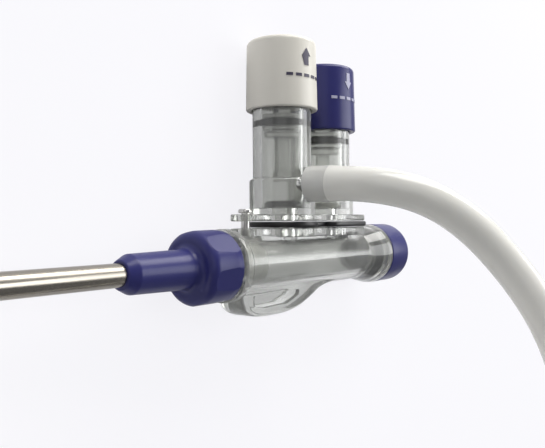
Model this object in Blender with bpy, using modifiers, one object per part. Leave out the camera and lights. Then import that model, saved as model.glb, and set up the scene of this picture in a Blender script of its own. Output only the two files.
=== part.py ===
"""Suction cannula with its trumpet-valve handpiece and hose, lying on its side.

The handpiece frame has its origin on the barrel's axis, at the front of the clear flange:
+X runs back along the barrel, +Y up the two valves and +Z out of the hose port, which points
up as the handpiece lies. Everything hangs from one empty that places this frame in the world.
"""
from math import asin, atan2, cos, pi, radians, sin

import bmesh
import bpy
from mathutils import Matrix, Vector

# Gap kept between touching pieces, and the weld distance for coincident vertices
CLEAR = 0.0003
WELD = 0.000002

# How far a cutting tool reaches past what it cuts
PAST = 0.001

# Cannula: a 5 mm steel tube with a working length of 330 mm in front of its hub
TUBE_R = 0.0025
TUBE_BORE_R = 0.0021
TUBE_TIP_X = -0.3605
TUBE_REAR_X = -0.0020
SIDE_HOLE_R = 0.0009
SIDE_HOLE_FIRST = 0.0060
SIDE_HOLE_PITCH = 0.0050

# Blue hub: a slim collar in front, a body with six flats behind
HUB_FRONT_X = -0.0305
HUB_COLLAR_R = 0.0043
HUB_COLLAR_REAR_R = 0.00465
HUB_NOSE_R = 0.0013
HUB_BODY_X = -0.0160
HUB_DOME_Y = 0.0039
HUB_DOME_R = 0.0045
HUB_REAR_X = -0.0006
HUB_R = 0.00891
HUB_FLAT_HALF_ANGLE = radians(18.5)
HUB_FLAT_TURN = radians(16.5)
HUB_BORE_R = TUBE_R + CLEAR
HUB_CAVITY_X = -0.0118
HUB_CAVITY_R = 0.0064

# White ferrule that carries the tube into the barrel, and its seal
FERRULE_FLANGE_R = 0.0059
FERRULE_FLANGE_THICK = 0.0030
FERRULE_SLEEVE_R = 0.0046
FERRULE_REAR_X = 0.0120
FERRULE_HEX_X = 0.0050
FERRULE_HEX_APOTHEM = 0.0042
FERRULE_GROOVE_R = 0.0032
FERRULE_RING_X = 0.0020
FERRULE_RING_SECTION = 0.0006

# Clear barrel with its front flange, neck, rear bell, platform and finger keel
NECK_X = -0.0080
NECK_R = 0.0060
FLANGE_R = 0.0090
FLANGE_X = 0.00266
BARREL_R = 0.0075
BARREL_BORE_R = 0.0050
BORE_STEP = 0.0001
BORE_STOP = 0.0010
BELL_START_X = 0.0620
BELL_REAR_X = 0.07305
BELL_R = 0.00962
SOCKET_R = 0.0060
PLATFORM_TOP_Y = 0.0090
PLATFORM_LOW_Y = 0.0066
PORT_R = 0.0029
KEEL_THICK = 0.0084
KEEL_ROUND = 0.0014
KEEL_LOW_Y = -0.0135

# Valve plates: a disc about the suction valve and a rounded block about the irrigation valve
SUCTION_X = 0.0257
IRRIGATION_X = 0.0461
PLATE_R = 0.0094
PLATE_HALF_WIDTH = 0.0094
PLATE_BLOCK_X = 0.0374
PLATE_REAR_X = 0.0564
PLATE_CORNER_R = 0.0026
WAIST_HALF_WIDTH = 0.0066
LUG_X = 0.0098
LUG_R = 0.0038
GASKET_LOW_Y = PLATFORM_TOP_Y + CLEAR
GASKET_TOP_Y = 0.0105
GASKET_OVERHANG = 0.0003
PLATE_LOW_Y = GASKET_TOP_Y + CLEAR
PLATE_TOP_Y = 0.0126

# Valve cylinders
FOOT_R = 0.0090
FOOT_TOP_Y = 0.0222
FOOT_ROUND = 0.0008
JOIN_DEPTH = 0.0006
CYLINDER_R = 0.0080
CYLINDER_BORE_R = 0.0055
CYLINDER_FLOOR_Y = 0.0142
CYLINDER_ABOVE_CAP_RIM = 0.0042
SEAT_LOW_Y = CYLINDER_FLOOR_Y + CLEAR
SEAT_TOP_Y = 0.0165
SEAT_BORE_R = 0.0030

# Hose port and irrigation port, both towards +Z
PORT_Y = 0.0205
PORT_TIP_Z = 0.0152
PORT_BARB_R = 0.0032
IRRIGATION_PORT_Y = 0.0205
IRRIGATION_PORT_TIP_Z = 0.0200
IRRIGATION_BARB_R = 0.0028
BARB_RISE = 0.0004
BARB_PITCH = 0.0032
PORT_BORE_R = 0.0018

# Caps, the same shape at two heights
CAP_R = 0.00975
CAP_TOP_R = 0.0094
CAP_ROUND = 0.0011
CAP_BORE_R = 0.0083
CAP_ROOF = 0.0016
CAP_HEIGHT = 0.0187
SUCTION_CAP_RIM_Y = 0.0407
IRRIGATION_CAP_RIM_Y = 0.0370

# Pistons, their seals and springs
PISTON_R = 0.0052
PISTON_STEM_R = 0.0024
PISTON_GROOVE_R = 0.0031
PISTON_FOOT_R = 0.0020
PISTON_PLUG_R = 0.0026
RING_SECTION = 0.0009
RING_BELOW_CAP_RIM = (0.0036, 0.0029)
SKIRT_R = 0.0048
SKIRT_DROP = 0.0036
PLUG_GAP = 0.0045
SPRING_R = 0.0064
SPRING_WIRE_R = 0.0005
SPRING_TURNS = 4.5
SPRING_POINTS_PER_TURN = 10

# Rear cap: a blue plug with a rubber ring in the bell, and the domed knob behind it
REAR_CAP_X = BELL_REAR_X + CLEAR
REAR_END_X = 0.0860
REAR_CAP_R = 0.0096
REAR_ROUND = 0.0034
PLUG_FRONT_X = 0.0625
PLUG_R = 0.0057
REAR_RING_X = 0.0670
REAR_RING_SECTION = 0.0008

# Pin through the front lug
PIN_R = 0.0011
PIN_HEAD_R = 0.0018
PIN_HEAD_THICK = 0.0010
PIN_LOW_Y = 0.0072

# Suction hose: a 9 mm tube with a cuff at the port and a stepped connector at its end
HOSE_R = 0.0045
CUFF_R = 0.0048
CUFF_BORE_R = 0.0040
CUFF_START_Z = 0.0095
CUFF_END_Z = 0.0170
TIE_THICK = 0.0006

# The hose's hank: three turns wide and two high, two runs along the tube and a fold at each end
HANK_X = -0.0980
HANK_Y = -0.0605
HANK_RUN = 0.1495
HANK_MEAN_R = 0.0360
HANK_LOW = TIE_THICK + CLEAR
HANK_WIDE = 6 * HOSE_R
HANK_HIGH = 4 * HOSE_R
HANK_CORNER = 0.0042
FOLD_STEPS = 16
TAIL_X = -0.1873
TAIL_HEIGHT = 0.0247
TAIL_LENGTH = 0.0150
CONNECTOR_R = 0.0055
CONNECTOR_LENGTH = 0.0360
TIE_WIDTH = 0.0080
TIE_SLACK = 0.0009
TIE_CORNER = 0.0030

# The lying handpiece touches the floor with its widest piece, the caps
AXIS_HEIGHT = CAP_R
ORIGIN_X = (TUBE_TIP_X + REAR_END_X) / 2
ORIGIN_Y = (KEEL_LOW_Y + SUCTION_CAP_RIM_Y + CAP_HEIGHT) / 2

# Sides of round pieces, and the odd turn that keeps a drill's edges off those of what it cuts
FINE = 32
MEDIUM = 24
SMALL = 16
DRILL_TURN = radians(4.3)

# Colour, roughness, metallic, transmission of each material
MATERIALS = {
    "steel": ((0.52, 0.50, 0.48), 0.30, 1.0, 0.0),
    "blue": ((0.045, 0.035, 0.26), 0.32, 0.0, 0.0),
    "white": ((0.80, 0.79, 0.77), 0.38, 0.0, 0.0),
    "clear": ((0.92, 0.93, 0.92), 0.06, 0.0, 0.9),
    "rubber": ((0.012, 0.012, 0.014), 0.55, 0.0, 0.0),
    "hose": ((0.80, 0.79, 0.74), 0.35, 0.0, 0.4),
    "tie": ((0.60, 0.60, 0.62), 0.60, 0.0, 0.0),
}


def clear_scene():
    """Remove every object of the scene."""
    for obj in list(bpy.data.objects):
        bpy.data.objects.remove(obj, do_unlink=True)


def collection(name):
    """Make a collection in the scene."""
    made = bpy.data.collections.new(name)
    bpy.context.scene.collection.children.link(made)
    return made


clear_scene()
PARTS = collection("suction_cannula")
CUTTERS = collection("cutters")
FRAME = bpy.data.objects.new("handpiece_frame", None)
PARTS.objects.link(FRAME)
FRAME.location = (-ORIGIN_X, -ORIGIN_Y, AXIS_HEIGHT)
ALONG_X = Matrix.Rotation(pi / 2, 4, "Y")
ALONG_Y = Matrix.Rotation(-pi / 2, 4, "X")
ALONG_Z = Matrix.Identity(4)


def material(kind):
    """The Principled material of one kind, made once."""
    name = "cannula_" + kind
    if name in bpy.data.materials:
        return bpy.data.materials[name]
    color, roughness, metallic, transmission = MATERIALS[kind]
    made = bpy.data.materials.new(name)
    made.use_nodes = True
    shader = made.node_tree.nodes["Principled BSDF"]
    shader.inputs["Base Color"].default_value = (*color, 1.0)
    shader.inputs["Roughness"].default_value = roughness
    shader.inputs["Metallic"].default_value = metallic
    shader.inputs["Transmission Weight"].default_value = transmission
    made.diffuse_color = (*color, 1.0)
    return made


def place(obj, at, axes=ALONG_Z):
    """Put an object in the handpiece frame, at a point and turned by a matrix."""
    obj.parent = FRAME
    obj.matrix_basis = Matrix.Translation(at) @ axes


def finish(obj, kind):
    """Give a piece its material and shade its round faces smooth."""
    obj.data.materials.clear()
    obj.data.materials.append(material(kind))
    obj.data.shade_smooth()
    obj.data.set_sharp_from_angle(angle=radians(35))
    PARTS.objects.link(obj)
    return obj


def as_cutter(obj):
    """Mark an object as a boolean tool, left out of the model."""
    CUTTERS.objects.link(obj)
    obj.hide_render = True
    obj.display_type = "WIRE"
    return obj


def combine(obj, tool, operation):
    """Cut, join or intersect a piece with a boolean tool."""
    modifier = obj.modifiers.new(tool.name, "BOOLEAN")
    modifier.operation = operation
    modifier.solver = "EXACT"
    modifier.object = tool


def closed_mesh(obj):
    """Replace an object by its evaluated, welded mesh with the faces pointing out."""
    scene_collection = bpy.context.scene.collection
    scene_collection.objects.link(obj)
    graph = bpy.context.evaluated_depsgraph_get()
    mesh = bpy.data.meshes.new_from_object(obj.evaluated_get(graph))
    scene_collection.objects.unlink(obj)
    welded = bmesh.new()
    welded.from_mesh(mesh)
    bmesh.ops.remove_doubles(welded, verts=welded.verts, dist=WELD)
    bmesh.ops.recalc_face_normals(welded, faces=welded.faces)
    welded.to_mesh(mesh)
    welded.free()
    name = obj.name
    bpy.data.objects.remove(obj, do_unlink=True)
    return bpy.data.objects.new(name, mesh)


def turned(name, profile, sides, at=(0, 0, 0), axes=ALONG_Z):
    """Turn a closed profile of (distance along the axis, radius) points into a solid."""
    mesh = bpy.data.meshes.new(name)
    points = [(radius, 0, along) for along, radius in profile]
    edges = [(i, (i + 1) % len(points)) for i in range(len(points))]
    on_axis = [radius == 0 for _, radius in profile]
    edges = [(a, b) for a, b in edges if not (on_axis[a] and on_axis[b])]
    mesh.from_pydata(points, edges, [])
    obj = bpy.data.objects.new(name, mesh)
    screw = obj.modifiers.new("turn", "SCREW")
    screw.steps = sides
    screw.render_steps = sides
    screw.use_merge_vertices = True
    screw.merge_threshold = 0.00001
    obj = closed_mesh(obj)
    place(obj, at, axes)
    return obj


def rod(name, low, high, radius, sides, at=(0, 0, 0), axes=ALONG_Z):
    """A plain round bar between two distances along its axis."""
    return turned(name, [(low, 0), (low, radius), (high, radius), (high, 0)], sides, at, axes)


def drill(name, low, high, radius, sides, at=(0, 0, 0), axes=ALONG_Z):
    """A round bar that cuts a hole between two distances along its axis."""
    return as_cutter(rod(name, low, high, radius, sides, at, axes @ Matrix.Rotation(DRILL_TURN, 4, "Z")))


def ring_profile(centre, section_r, major_r, points=8):
    """The round section of an O-ring, as a closed profile."""
    steps = [2 * pi * i / points for i in range(points)]
    return [(centre + section_r * sin(t), major_r + section_r * cos(t)) for t in steps]


def rounded_corner(along, radius, size, start, end, points=4):
    """Points of a quarter round about (along, radius), from one angle to another."""
    steps = [start + (end - start) * i / points for i in range(points + 1)]
    return [(along + size * cos(t), radius + size * sin(t)) for t in steps]


def slab(name, outline, low, high, holes=(), resolution=6):
    """Extrude a flat outline of (x, z) points along Y, with round holes through it."""
    curve = bpy.data.curves.new(name, "CURVE")
    curve.dimensions = "2D"
    curve.fill_mode = "BOTH"
    curve.extrude = (high - low) / 2
    rings = [outline]
    for hole_x, hole_z, hole_r in holes:
        steps = [2 * pi * i / SMALL for i in range(SMALL)]
        rings.append([(hole_x + hole_r * cos(t), hole_z + hole_r * sin(t)) for t in steps])
    for ring in rings:
        spline = curve.splines.new("POLY")
        spline.points.add(len(ring) - 1)
        for point, (x, z) in zip(spline.points, ring):
            point.co = (x, -z, 0, 1)
        spline.use_cyclic_u = True
    obj = closed_mesh(bpy.data.objects.new(name, curve))
    place(obj, (0, (low + high) / 2, 0), ALONG_Y)
    return obj


def arc(centre_x, centre_z, radius, start, end, points):
    """Points on a circle in the plate's plane, from one angle to another."""
    steps = [start + (end - start) * i / points for i in range(points + 1)]
    return [(centre_x + radius * cos(t), centre_z + radius * sin(t)) for t in steps]


def valve_outline(grow=0.0, lug=False):
    """The plates' outline: a disc, a waist and a block with rounded corners.

    grow widens it all round, and lug adds the rounded ear in front of the disc.
    """
    disc_r = PLATE_R + grow
    waist = WAIST_HALF_WIDTH
    join = atan2(waist, (disc_r ** 2 - waist ** 2) ** 0.5)
    half = PLATE_HALF_WIDTH + grow
    front, rear = PLATE_BLOCK_X - grow, PLATE_REAR_X + grow
    corner = PLATE_CORNER_R
    points = []
    if lug:
        ear = atan2(LUG_R, (disc_r ** 2 - LUG_R ** 2) ** 0.5)
        points += arc(SUCTION_X, 0, disc_r, join, pi - ear, 12)
        points += arc(LUG_X, 0, LUG_R, pi / 2, 3 * pi / 2, 10)
        points += arc(SUCTION_X, 0, disc_r, pi + ear, 2 * pi - join, 12)
    else:
        points += arc(SUCTION_X, 0, disc_r, join, 2 * pi - join, 30)
    for x, z, start in ((front, -half, pi), (rear, -half, 1.5 * pi), (rear, half, 0), (front, half, pi / 2)):
        inner_x = x + corner if x == front else x - corner
        inner_z = z + corner if z < 0 else z - corner
        if x == front and z < 0:
            points.append((front, -waist))
        points += arc(inner_x, inner_z, corner, start, start + pi / 2, 5)
        if x == front and z > 0:
            points.append((front, waist))
    return points


def keel_outline():
    """The finger keel under the barrel, seen from the side, as (x, y) points.

    It drops behind the flange, runs round a long low belly and sweeps back into the barrel.
    """
    belly = [(0.0034, -0.0050), (0.0036, -0.0090), (0.0046, -0.0112), (0.0078, -0.0126),
             (0.0120, -0.0133), (0.0175, KEEL_LOW_Y), (0.0235, -0.0133), (0.0285, -0.0124),
             (0.0325, -0.0111), (0.0360, -0.0095), (0.0388, -0.0083), (0.0425, -0.0075)]
    return belly + [(0.0470, -0.0068), (0.0470, -0.0050)]


def keel():
    """The keel as a slab with rounded edges, to be joined to the barrel."""
    outline = keel_outline()
    curve = bpy.data.curves.new("keel", "CURVE")
    curve.dimensions = "2D"
    curve.fill_mode = "BOTH"
    curve.extrude = KEEL_THICK / 2
    spline = curve.splines.new("POLY")
    spline.points.add(len(outline) - 1)
    for point, (x, y) in zip(spline.points, outline):
        point.co = (x, y, 0, 1)
    spline.use_cyclic_u = True
    obj = closed_mesh(bpy.data.objects.new("keel", curve))
    rounding = obj.modifiers.new("rounded edges", "BEVEL")
    rounding.width = KEEL_ROUND
    rounding.segments = 3
    rounding.limit_method = "ANGLE"
    rounding.angle_limit = radians(50)
    rounding.use_clamp_overlap = True
    obj = closed_mesh(obj)
    place(obj, (0, 0, 0))
    return as_cutter(obj)


def cannula_tube():
    """The steel tube, open at its tip, with two pairs of side holes near it."""
    profile = [(TUBE_TIP_X, TUBE_BORE_R), (TUBE_TIP_X, TUBE_R),
               (TUBE_REAR_X, TUBE_R), (TUBE_REAR_X, TUBE_BORE_R)]
    tube = turned("cannula_tube", profile, MEDIUM, axes=ALONG_X)
    for i, across in enumerate((ALONG_Y, ALONG_Z)):
        x = TUBE_TIP_X + SIDE_HOLE_FIRST + i * SIDE_HOLE_PITCH
        hole = drill(f"side_hole_{i + 1}", -2 * TUBE_R, 2 * TUBE_R, SIDE_HOLE_R, 12, (x, 0, 0), across)
        combine(tube, hole, "DIFFERENCE")
    return finish(tube, "steel")


def hub():
    """The blue hub on the tube: collar, flared shoulder and a body with six flats."""
    nose = rounded_corner(HUB_FRONT_X + HUB_NOSE_R, HUB_COLLAR_R - HUB_NOSE_R, HUB_NOSE_R, pi, pi / 2, 3)
    dome_x, dome_y = HUB_BODY_X + HUB_DOME_R, HUB_DOME_Y
    foot = asin((HUB_COLLAR_REAR_R - dome_y) / HUB_DOME_R)
    shoulder = [(HUB_BODY_X, HUB_COLLAR_REAR_R)]
    shoulder += rounded_corner(dome_x, dome_y, HUB_DOME_R, pi - foot, pi / 2, 6)
    shoulder += [(-0.0031, HUB_R), (-0.0014, HUB_R - 0.0001), (HUB_REAR_X, HUB_R - 0.0008)]
    inside = [(HUB_REAR_X, HUB_CAVITY_R), (HUB_CAVITY_X, HUB_CAVITY_R), (HUB_CAVITY_X, HUB_BORE_R)]
    profile = [(HUB_FRONT_X, HUB_BORE_R)] + nose + shoulder + inside
    body = turned("cannula_hub", profile, FINE, axes=ALONG_X)
    apothem = HUB_R * cos(HUB_FLAT_HALF_ANGLE)
    corner_r = apothem / cos(pi / 6)
    turn = Matrix.Rotation(HUB_FLAT_TURN + pi / 6, 4, "X")
    prism = rod("hub_flats", HUB_FRONT_X - 0.002, HUB_REAR_X + 0.002, corner_r, 6, axes=turn @ ALONG_X)
    combine(body, as_cutter(prism), "INTERSECT")
    return finish(body, "blue")


def ferrule():
    """The white ferrule: a flange in front of the neck, a grooved sleeve and a hexagonal end."""
    flange_front = NECK_X - CLEAR - FERRULE_FLANGE_THICK
    groove_low = FERRULE_RING_X - FERRULE_RING_SECTION - CLEAR
    groove_high = FERRULE_RING_X + FERRULE_RING_SECTION + CLEAR
    bore = TUBE_R + CLEAR
    profile = [(flange_front, bore), (flange_front, FERRULE_FLANGE_R), (NECK_X - CLEAR, FERRULE_FLANGE_R),
               (NECK_X - CLEAR, FERRULE_SLEEVE_R), (groove_low, FERRULE_SLEEVE_R),
               (groove_low, FERRULE_GROOVE_R), (groove_high, FERRULE_GROOVE_R),
               (groove_high, FERRULE_SLEEVE_R), (FERRULE_REAR_X, FERRULE_SLEEVE_R),
               (FERRULE_REAR_X, bore)]
    body = turned("cannula_ferrule", profile, MEDIUM, axes=ALONG_X)
    for i in range(6):
        angle = pi / 6 + i * pi / 3
        bpy.ops.mesh.primitive_cube_add(size=1)
        flat = bpy.context.object
        flat.name = f"ferrule_flat_{i + 1}"
        flat.data.transform(Matrix.Diagonal((FERRULE_REAR_X - FERRULE_HEX_X + 0.002, 0.002, 0.008, 1)))
        for owner in list(flat.users_collection):
            owner.objects.unlink(flat)
        offset = FERRULE_HEX_APOTHEM + 0.001
        middle = (FERRULE_HEX_X + FERRULE_REAR_X + 0.002) / 2
        place(flat, (middle, offset * cos(angle), offset * sin(angle)), Matrix.Rotation(angle, 4, "X"))
        combine(body, as_cutter(flat), "DIFFERENCE")
    return finish(body, "white")


def o_ring(name, centre, section_r, outer_r, sides, at, axes):
    """A rubber ring about an axis."""
    ring = turned(name, ring_profile(centre, section_r, outer_r - section_r), sides, at, axes)
    return finish(ring, "rubber")


def barrel():
    """The clear barrel: neck, flange, tube, bell, platform and keel, bored right through."""
    bell = [(BELL_START_X, BARREL_R), (0.0645, 0.0078), (0.0670, 0.0084), (0.0695, 0.0091),
            (0.0716, BELL_R - 0.0001), (BELL_REAR_X, BELL_R)]
    outside = [(NECK_X, BARREL_BORE_R), (NECK_X, NECK_R), (0, NECK_R), (0, FLANGE_R - 0.0005),
               (0.0005, FLANGE_R), (FLANGE_X - 0.0005, FLANGE_R), (FLANGE_X, FLANGE_R - 0.0005),
               (FLANGE_X, BARREL_R)] + bell
    socket_x = PLUG_FRONT_X - CLEAR
    inside = [(BELL_REAR_X, SOCKET_R), (socket_x, SOCKET_R), (socket_x, BARREL_BORE_R)]
    body = turned("barrel", outside + inside, FINE, axes=ALONG_X)
    platform = as_cutter(slab("platform", valve_outline(lug=True), PLATFORM_LOW_Y, PLATFORM_TOP_Y))
    web = as_cutter(slab("platform_web", web_outline(), 0.0, PLATFORM_LOW_Y + 0.0004))
    for tool in (platform, web, keel()):
        combine(body, tool, "UNION")
    bore = drill("barrel_bore", FLANGE_X, PLUG_FRONT_X - BORE_STOP, BARREL_BORE_R + BORE_STEP, FINE,
                 axes=ALONG_X)
    combine(body, bore, "DIFFERENCE")
    for name, x in (("suction", SUCTION_X), ("irrigation", IRRIGATION_X)):
        port = drill(name + "_barrel_port", PAST, PLATFORM_TOP_Y + PAST, PORT_R, SMALL, (x, 0, 0), ALONG_Y)
        combine(body, port, "DIFFERENCE")
    pin_hole = drill("pin_hole", PIN_LOW_Y - CLEAR, PLATFORM_TOP_Y + PAST, PIN_R + CLEAR, 12,
                     (LUG_X, 0, 0), ALONG_Y)
    combine(body, pin_hole, "DIFFERENCE")
    return finish(body, "clear")


def web_outline():
    """The wall that carries the platform on the barrel, seen from above."""
    half = 0.0048
    return [(0.0095, -half), (0.0535, -half), (0.0535, half), (0.0095, half)]


def base_gasket():
    """The black rubber sheet between the platform and the valve block."""
    holes = [(SUCTION_X, 0, PORT_R), (IRRIGATION_X, 0, PORT_R)]
    sheet = slab("base_gasket", valve_outline(GASKET_OVERHANG), GASKET_LOW_Y, GASKET_TOP_Y, holes)
    return finish(sheet, "rubber")


def barb(name, x, y, tip_z, radius):
    """A barbed spigot along +Z that starts inside the valve cylinder's wall."""
    root_z = CYLINDER_BORE_R + 0.0012
    profile = [(root_z, 0), (root_z, radius)]
    ridge = tip_z - 0.0006
    ridges = []
    while ridge - BARB_PITCH > FOOT_R + 0.0008:
        ridges += [(ridge, radius - 0.0002), (ridge - 0.6 * BARB_PITCH, radius + BARB_RISE),
                   (ridge - 0.6 * BARB_PITCH - 0.0001, radius)]
        ridge -= BARB_PITCH
    profile += reversed(ridges)
    profile += [(tip_z, radius - 0.0005), (tip_z, 0)]
    return as_cutter(turned(name, profile, SMALL, (x, y, 0), ALONG_Z))


def cylinder(name, x, top_y):
    """One valve cylinder with its wider foot and rounded shoulder."""
    root_y = PLATE_TOP_Y - JOIN_DEPTH
    shoulder = rounded_corner(FOOT_TOP_Y - FOOT_ROUND, FOOT_R - FOOT_ROUND, FOOT_ROUND, pi / 2, 0, 2)
    profile = [(root_y, 0), (root_y, FOOT_R)] + shoulder
    profile += [(FOOT_TOP_Y + 0.0001, CYLINDER_R), (top_y, CYLINDER_R), (top_y, CYLINDER_BORE_R),
                (CYLINDER_FLOOR_Y, CYLINDER_BORE_R), (CYLINDER_FLOOR_Y, 0)]
    return as_cutter(turned(name, profile, FINE, (x, 0, 0), ALONG_Y))


def valve_block():
    """The clear upper block: plate, two cylinders and two barbed ports, all bored."""
    block = slab("valve_block", valve_outline(lug=True), PLATE_LOW_Y, PLATE_TOP_Y)
    valves = (("suction", SUCTION_X, SUCTION_CAP_RIM_Y), ("irrigation", IRRIGATION_X, IRRIGATION_CAP_RIM_Y))
    for name, x, rim_y in valves:
        combine(block, cylinder(name + "_cylinder", x, rim_y + CYLINDER_ABOVE_CAP_RIM), "UNION")
    ports = (("suction", SUCTION_X, PORT_Y, PORT_TIP_Z, PORT_BARB_R),
             ("irrigation", IRRIGATION_X, IRRIGATION_PORT_Y, IRRIGATION_PORT_TIP_Z, IRRIGATION_BARB_R))
    for name, x, y, tip_z, radius in ports:
        combine(block, barb(name + "_port", x, y, tip_z, radius), "UNION")
    for name, x, _ in valves:
        passage = drill(name + "_passage", PLATE_LOW_Y - PAST, CYLINDER_FLOOR_Y + PAST / 2, PORT_R, SMALL,
                        (x, 0, 0), ALONG_Y)
        combine(block, passage, "DIFFERENCE")
    for name, x, y, tip_z, _ in ports:
        hole = drill(name + "_port_bore", CYLINDER_BORE_R / 2, tip_z + PAST, PORT_BORE_R, 12,
                     (x, y, 0), ALONG_Z)
        combine(block, hole, "DIFFERENCE")
    pin_hole = drill("block_pin_hole", PLATE_LOW_Y - PAST, PLATE_TOP_Y + PAST, PIN_R + CLEAR, 12,
                     (LUG_X, 0, 0), ALONG_Y)
    combine(block, pin_hole, "DIFFERENCE")
    return finish(block, "clear")


def seat(name, x):
    """The rubber seat at the foot of a valve cylinder."""
    outer = CYLINDER_BORE_R - CLEAR
    profile = [(SEAT_LOW_Y, SEAT_BORE_R), (SEAT_LOW_Y, outer), (SEAT_TOP_Y - 0.0006, outer),
               (SEAT_TOP_Y, outer - 0.0010), (SEAT_TOP_Y, SEAT_BORE_R + 0.0004),
               (SEAT_TOP_Y - 0.0005, SEAT_BORE_R)]
    return finish(turned(name, profile, SMALL, (x, 0, 0), ALONG_Y), "rubber")


def cap(name, x, rim_y, kind):
    """A push cap: an open-bottomed cup with a rounded top edge and a boss for the stem."""
    top_y = rim_y + CAP_HEIGHT
    roof_y = top_y - CAP_ROOF
    boss_y = roof_y - 0.0034
    edge = rounded_corner(top_y - CAP_ROUND, CAP_TOP_R - CAP_ROUND, CAP_ROUND, pi / 2, 0, 4)
    profile = [(rim_y, CAP_BORE_R), (rim_y, CAP_R - 0.0003), (rim_y + 0.0003, CAP_R)] + edge
    profile += [(top_y, 0), (roof_y, 0), (roof_y, PISTON_STEM_R + CLEAR), (boss_y, PISTON_STEM_R + CLEAR),
                (boss_y, PISTON_STEM_R + 0.0014), (roof_y, PISTON_STEM_R + 0.0014), (roof_y, CAP_BORE_R)]
    return finish(turned(name, profile, FINE, (x, 0, 0), ALONG_Y), kind)


def piston(name, x, rim_y, ring_y):
    """The clear piston: stem in the cap, a grooved head, a skirt and a plug above the seat."""
    stem_top = rim_y + CAP_HEIGHT - CAP_ROOF - CLEAR
    groove = RING_SECTION + CLEAR
    head_top, skirt_low = ring_y + groove + 0.0010, ring_y - groove - SKIRT_DROP
    plug_low = SEAT_TOP_Y + PLUG_GAP
    upper, lower = ring_y + groove, ring_y - groove
    profile = [(stem_top, 0), (stem_top, PISTON_STEM_R), (head_top, PISTON_STEM_R), (head_top, PISTON_R),
               (upper, PISTON_R), (upper, PISTON_GROOVE_R), (lower, PISTON_GROOVE_R), (lower, PISTON_R),
               (lower - 0.0008, PISTON_R), (lower - 0.0012, SKIRT_R),
               (skirt_low, SKIRT_R), (skirt_low, PISTON_FOOT_R),
               (plug_low + 0.0030, PISTON_FOOT_R), (plug_low + 0.0022, PISTON_PLUG_R),
               (plug_low + 0.0006, PISTON_PLUG_R), (plug_low, PISTON_PLUG_R - 0.0006), (plug_low, 0)]
    return finish(turned(name, profile, SMALL, (x, 0, 0), ALONG_Y), "clear")


def spring(name, x, rim_y):
    """The return spring between the cylinder's top and the cap's roof."""
    low = rim_y + CYLINDER_ABOVE_CAP_RIM + CLEAR + SPRING_WIRE_R
    high = rim_y + CAP_HEIGHT - CAP_ROOF - CLEAR - SPRING_WIRE_R
    count = int(SPRING_TURNS * SPRING_POINTS_PER_TURN)
    curve = bpy.data.curves.new(name, "CURVE")
    curve.dimensions = "3D"
    curve.bevel_depth = SPRING_WIRE_R
    curve.bevel_resolution = 1
    curve.use_fill_caps = True
    spline = curve.splines.new("POLY")
    spline.points.add(count)
    for i, point in enumerate(spline.points):
        angle = 2 * pi * i / SPRING_POINTS_PER_TURN
        share = i / count
        point.co = (SPRING_R * cos(angle), low + (high - low) * share, SPRING_R * sin(angle), 1)
    obj = closed_mesh(bpy.data.objects.new(name, curve))
    place(obj, (x, 0, 0))
    return finish(obj, "steel")


def valve(name, x, rim_y, ring_drop, cap_kind):
    """One trumpet valve: cap, piston with its ring, spring and seat."""
    ring_y = rim_y - ring_drop
    cap(name + "_cap", x, rim_y, cap_kind)
    piston(name + "_piston", x, rim_y, ring_y)
    o_ring(name + "_piston_ring", ring_y, RING_SECTION, PISTON_R, MEDIUM, (x, 0, 0), ALONG_Y)
    spring(name + "_spring", x, rim_y)
    seat(name + "_seat", x)


def rear_cap():
    """The blue rear cap: a grooved plug in the bell and a domed knob behind it."""
    groove_low = REAR_RING_X - REAR_RING_SECTION - CLEAR
    groove_high = REAR_RING_X + REAR_RING_SECTION + CLEAR
    groove_r = PLUG_R - 2 * REAR_RING_SECTION - CLEAR
    dome = rounded_corner(REAR_END_X - REAR_ROUND, REAR_CAP_R - REAR_ROUND, REAR_ROUND, pi / 2, 0, 6)
    profile = [(PLUG_FRONT_X, 0), (PLUG_FRONT_X, PLUG_R), (groove_low, PLUG_R), (groove_low, groove_r),
               (groove_high, groove_r), (groove_high, PLUG_R), (REAR_CAP_X, PLUG_R),
               (REAR_CAP_X, REAR_CAP_R - 0.0003), (REAR_CAP_X + 0.0003, REAR_CAP_R)]
    profile += dome + [(REAR_END_X, 0)]
    return finish(turned("rear_cap", profile, FINE, axes=ALONG_X), "blue")


def lug_pin():
    """The steel pin that clamps the block's front lug on the platform."""
    head_low = PLATE_TOP_Y + CLEAR
    head_top = head_low + PIN_HEAD_THICK
    profile = [(PIN_LOW_Y, 0), (PIN_LOW_Y, PIN_R), (head_low, PIN_R), (head_low, PIN_HEAD_R),
               (head_top - 0.0003, PIN_HEAD_R), (head_top, PIN_HEAD_R - 0.0003), (head_top, 0)]
    return finish(turned("lug_pin", profile, 16, (LUG_X, 0, 0), ALONG_Y), "steel")


def hose_cuff():
    """The moulded cuff that holds the hose on the barbed port."""
    step_z = PORT_TIP_Z + CLEAR
    profile = [(CUFF_START_Z, CUFF_BORE_R), (CUFF_START_Z, CUFF_R - 0.0004), (CUFF_START_Z + 0.0004, CUFF_R),
               (CUFF_END_Z - 0.0012, CUFF_R), (CUFF_END_Z, HOSE_R), (CUFF_END_Z, HOSE_R - 0.0015),
               (step_z, HOSE_R - 0.0015), (step_z, CUFF_BORE_R)]
    return finish(turned("hose_cuff", profile, SMALL, (SUCTION_X, PORT_Y, 0), ALONG_Z), "clear")


def smooth_route(points, per_span):
    """Points on a Catmull-Rom curve through a route, with even steps in each span."""
    ends = [2 * points[0] - points[1]] + points + [2 * points[-1] - points[-2]]
    route = []
    for a, b, c, d in zip(ends, ends[1:], ends[2:], ends[3:]):
        for i in range(per_span):
            t = i / per_span
            bend = 2 * a - 5 * b + 4 * c - d
            swing = 3 * b - 3 * c + d - a
            route.append((2 * b + (c - a) * t + bend * t ** 2 + swing * t ** 3) / 2)
    return route + [points[-1]]


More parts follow.
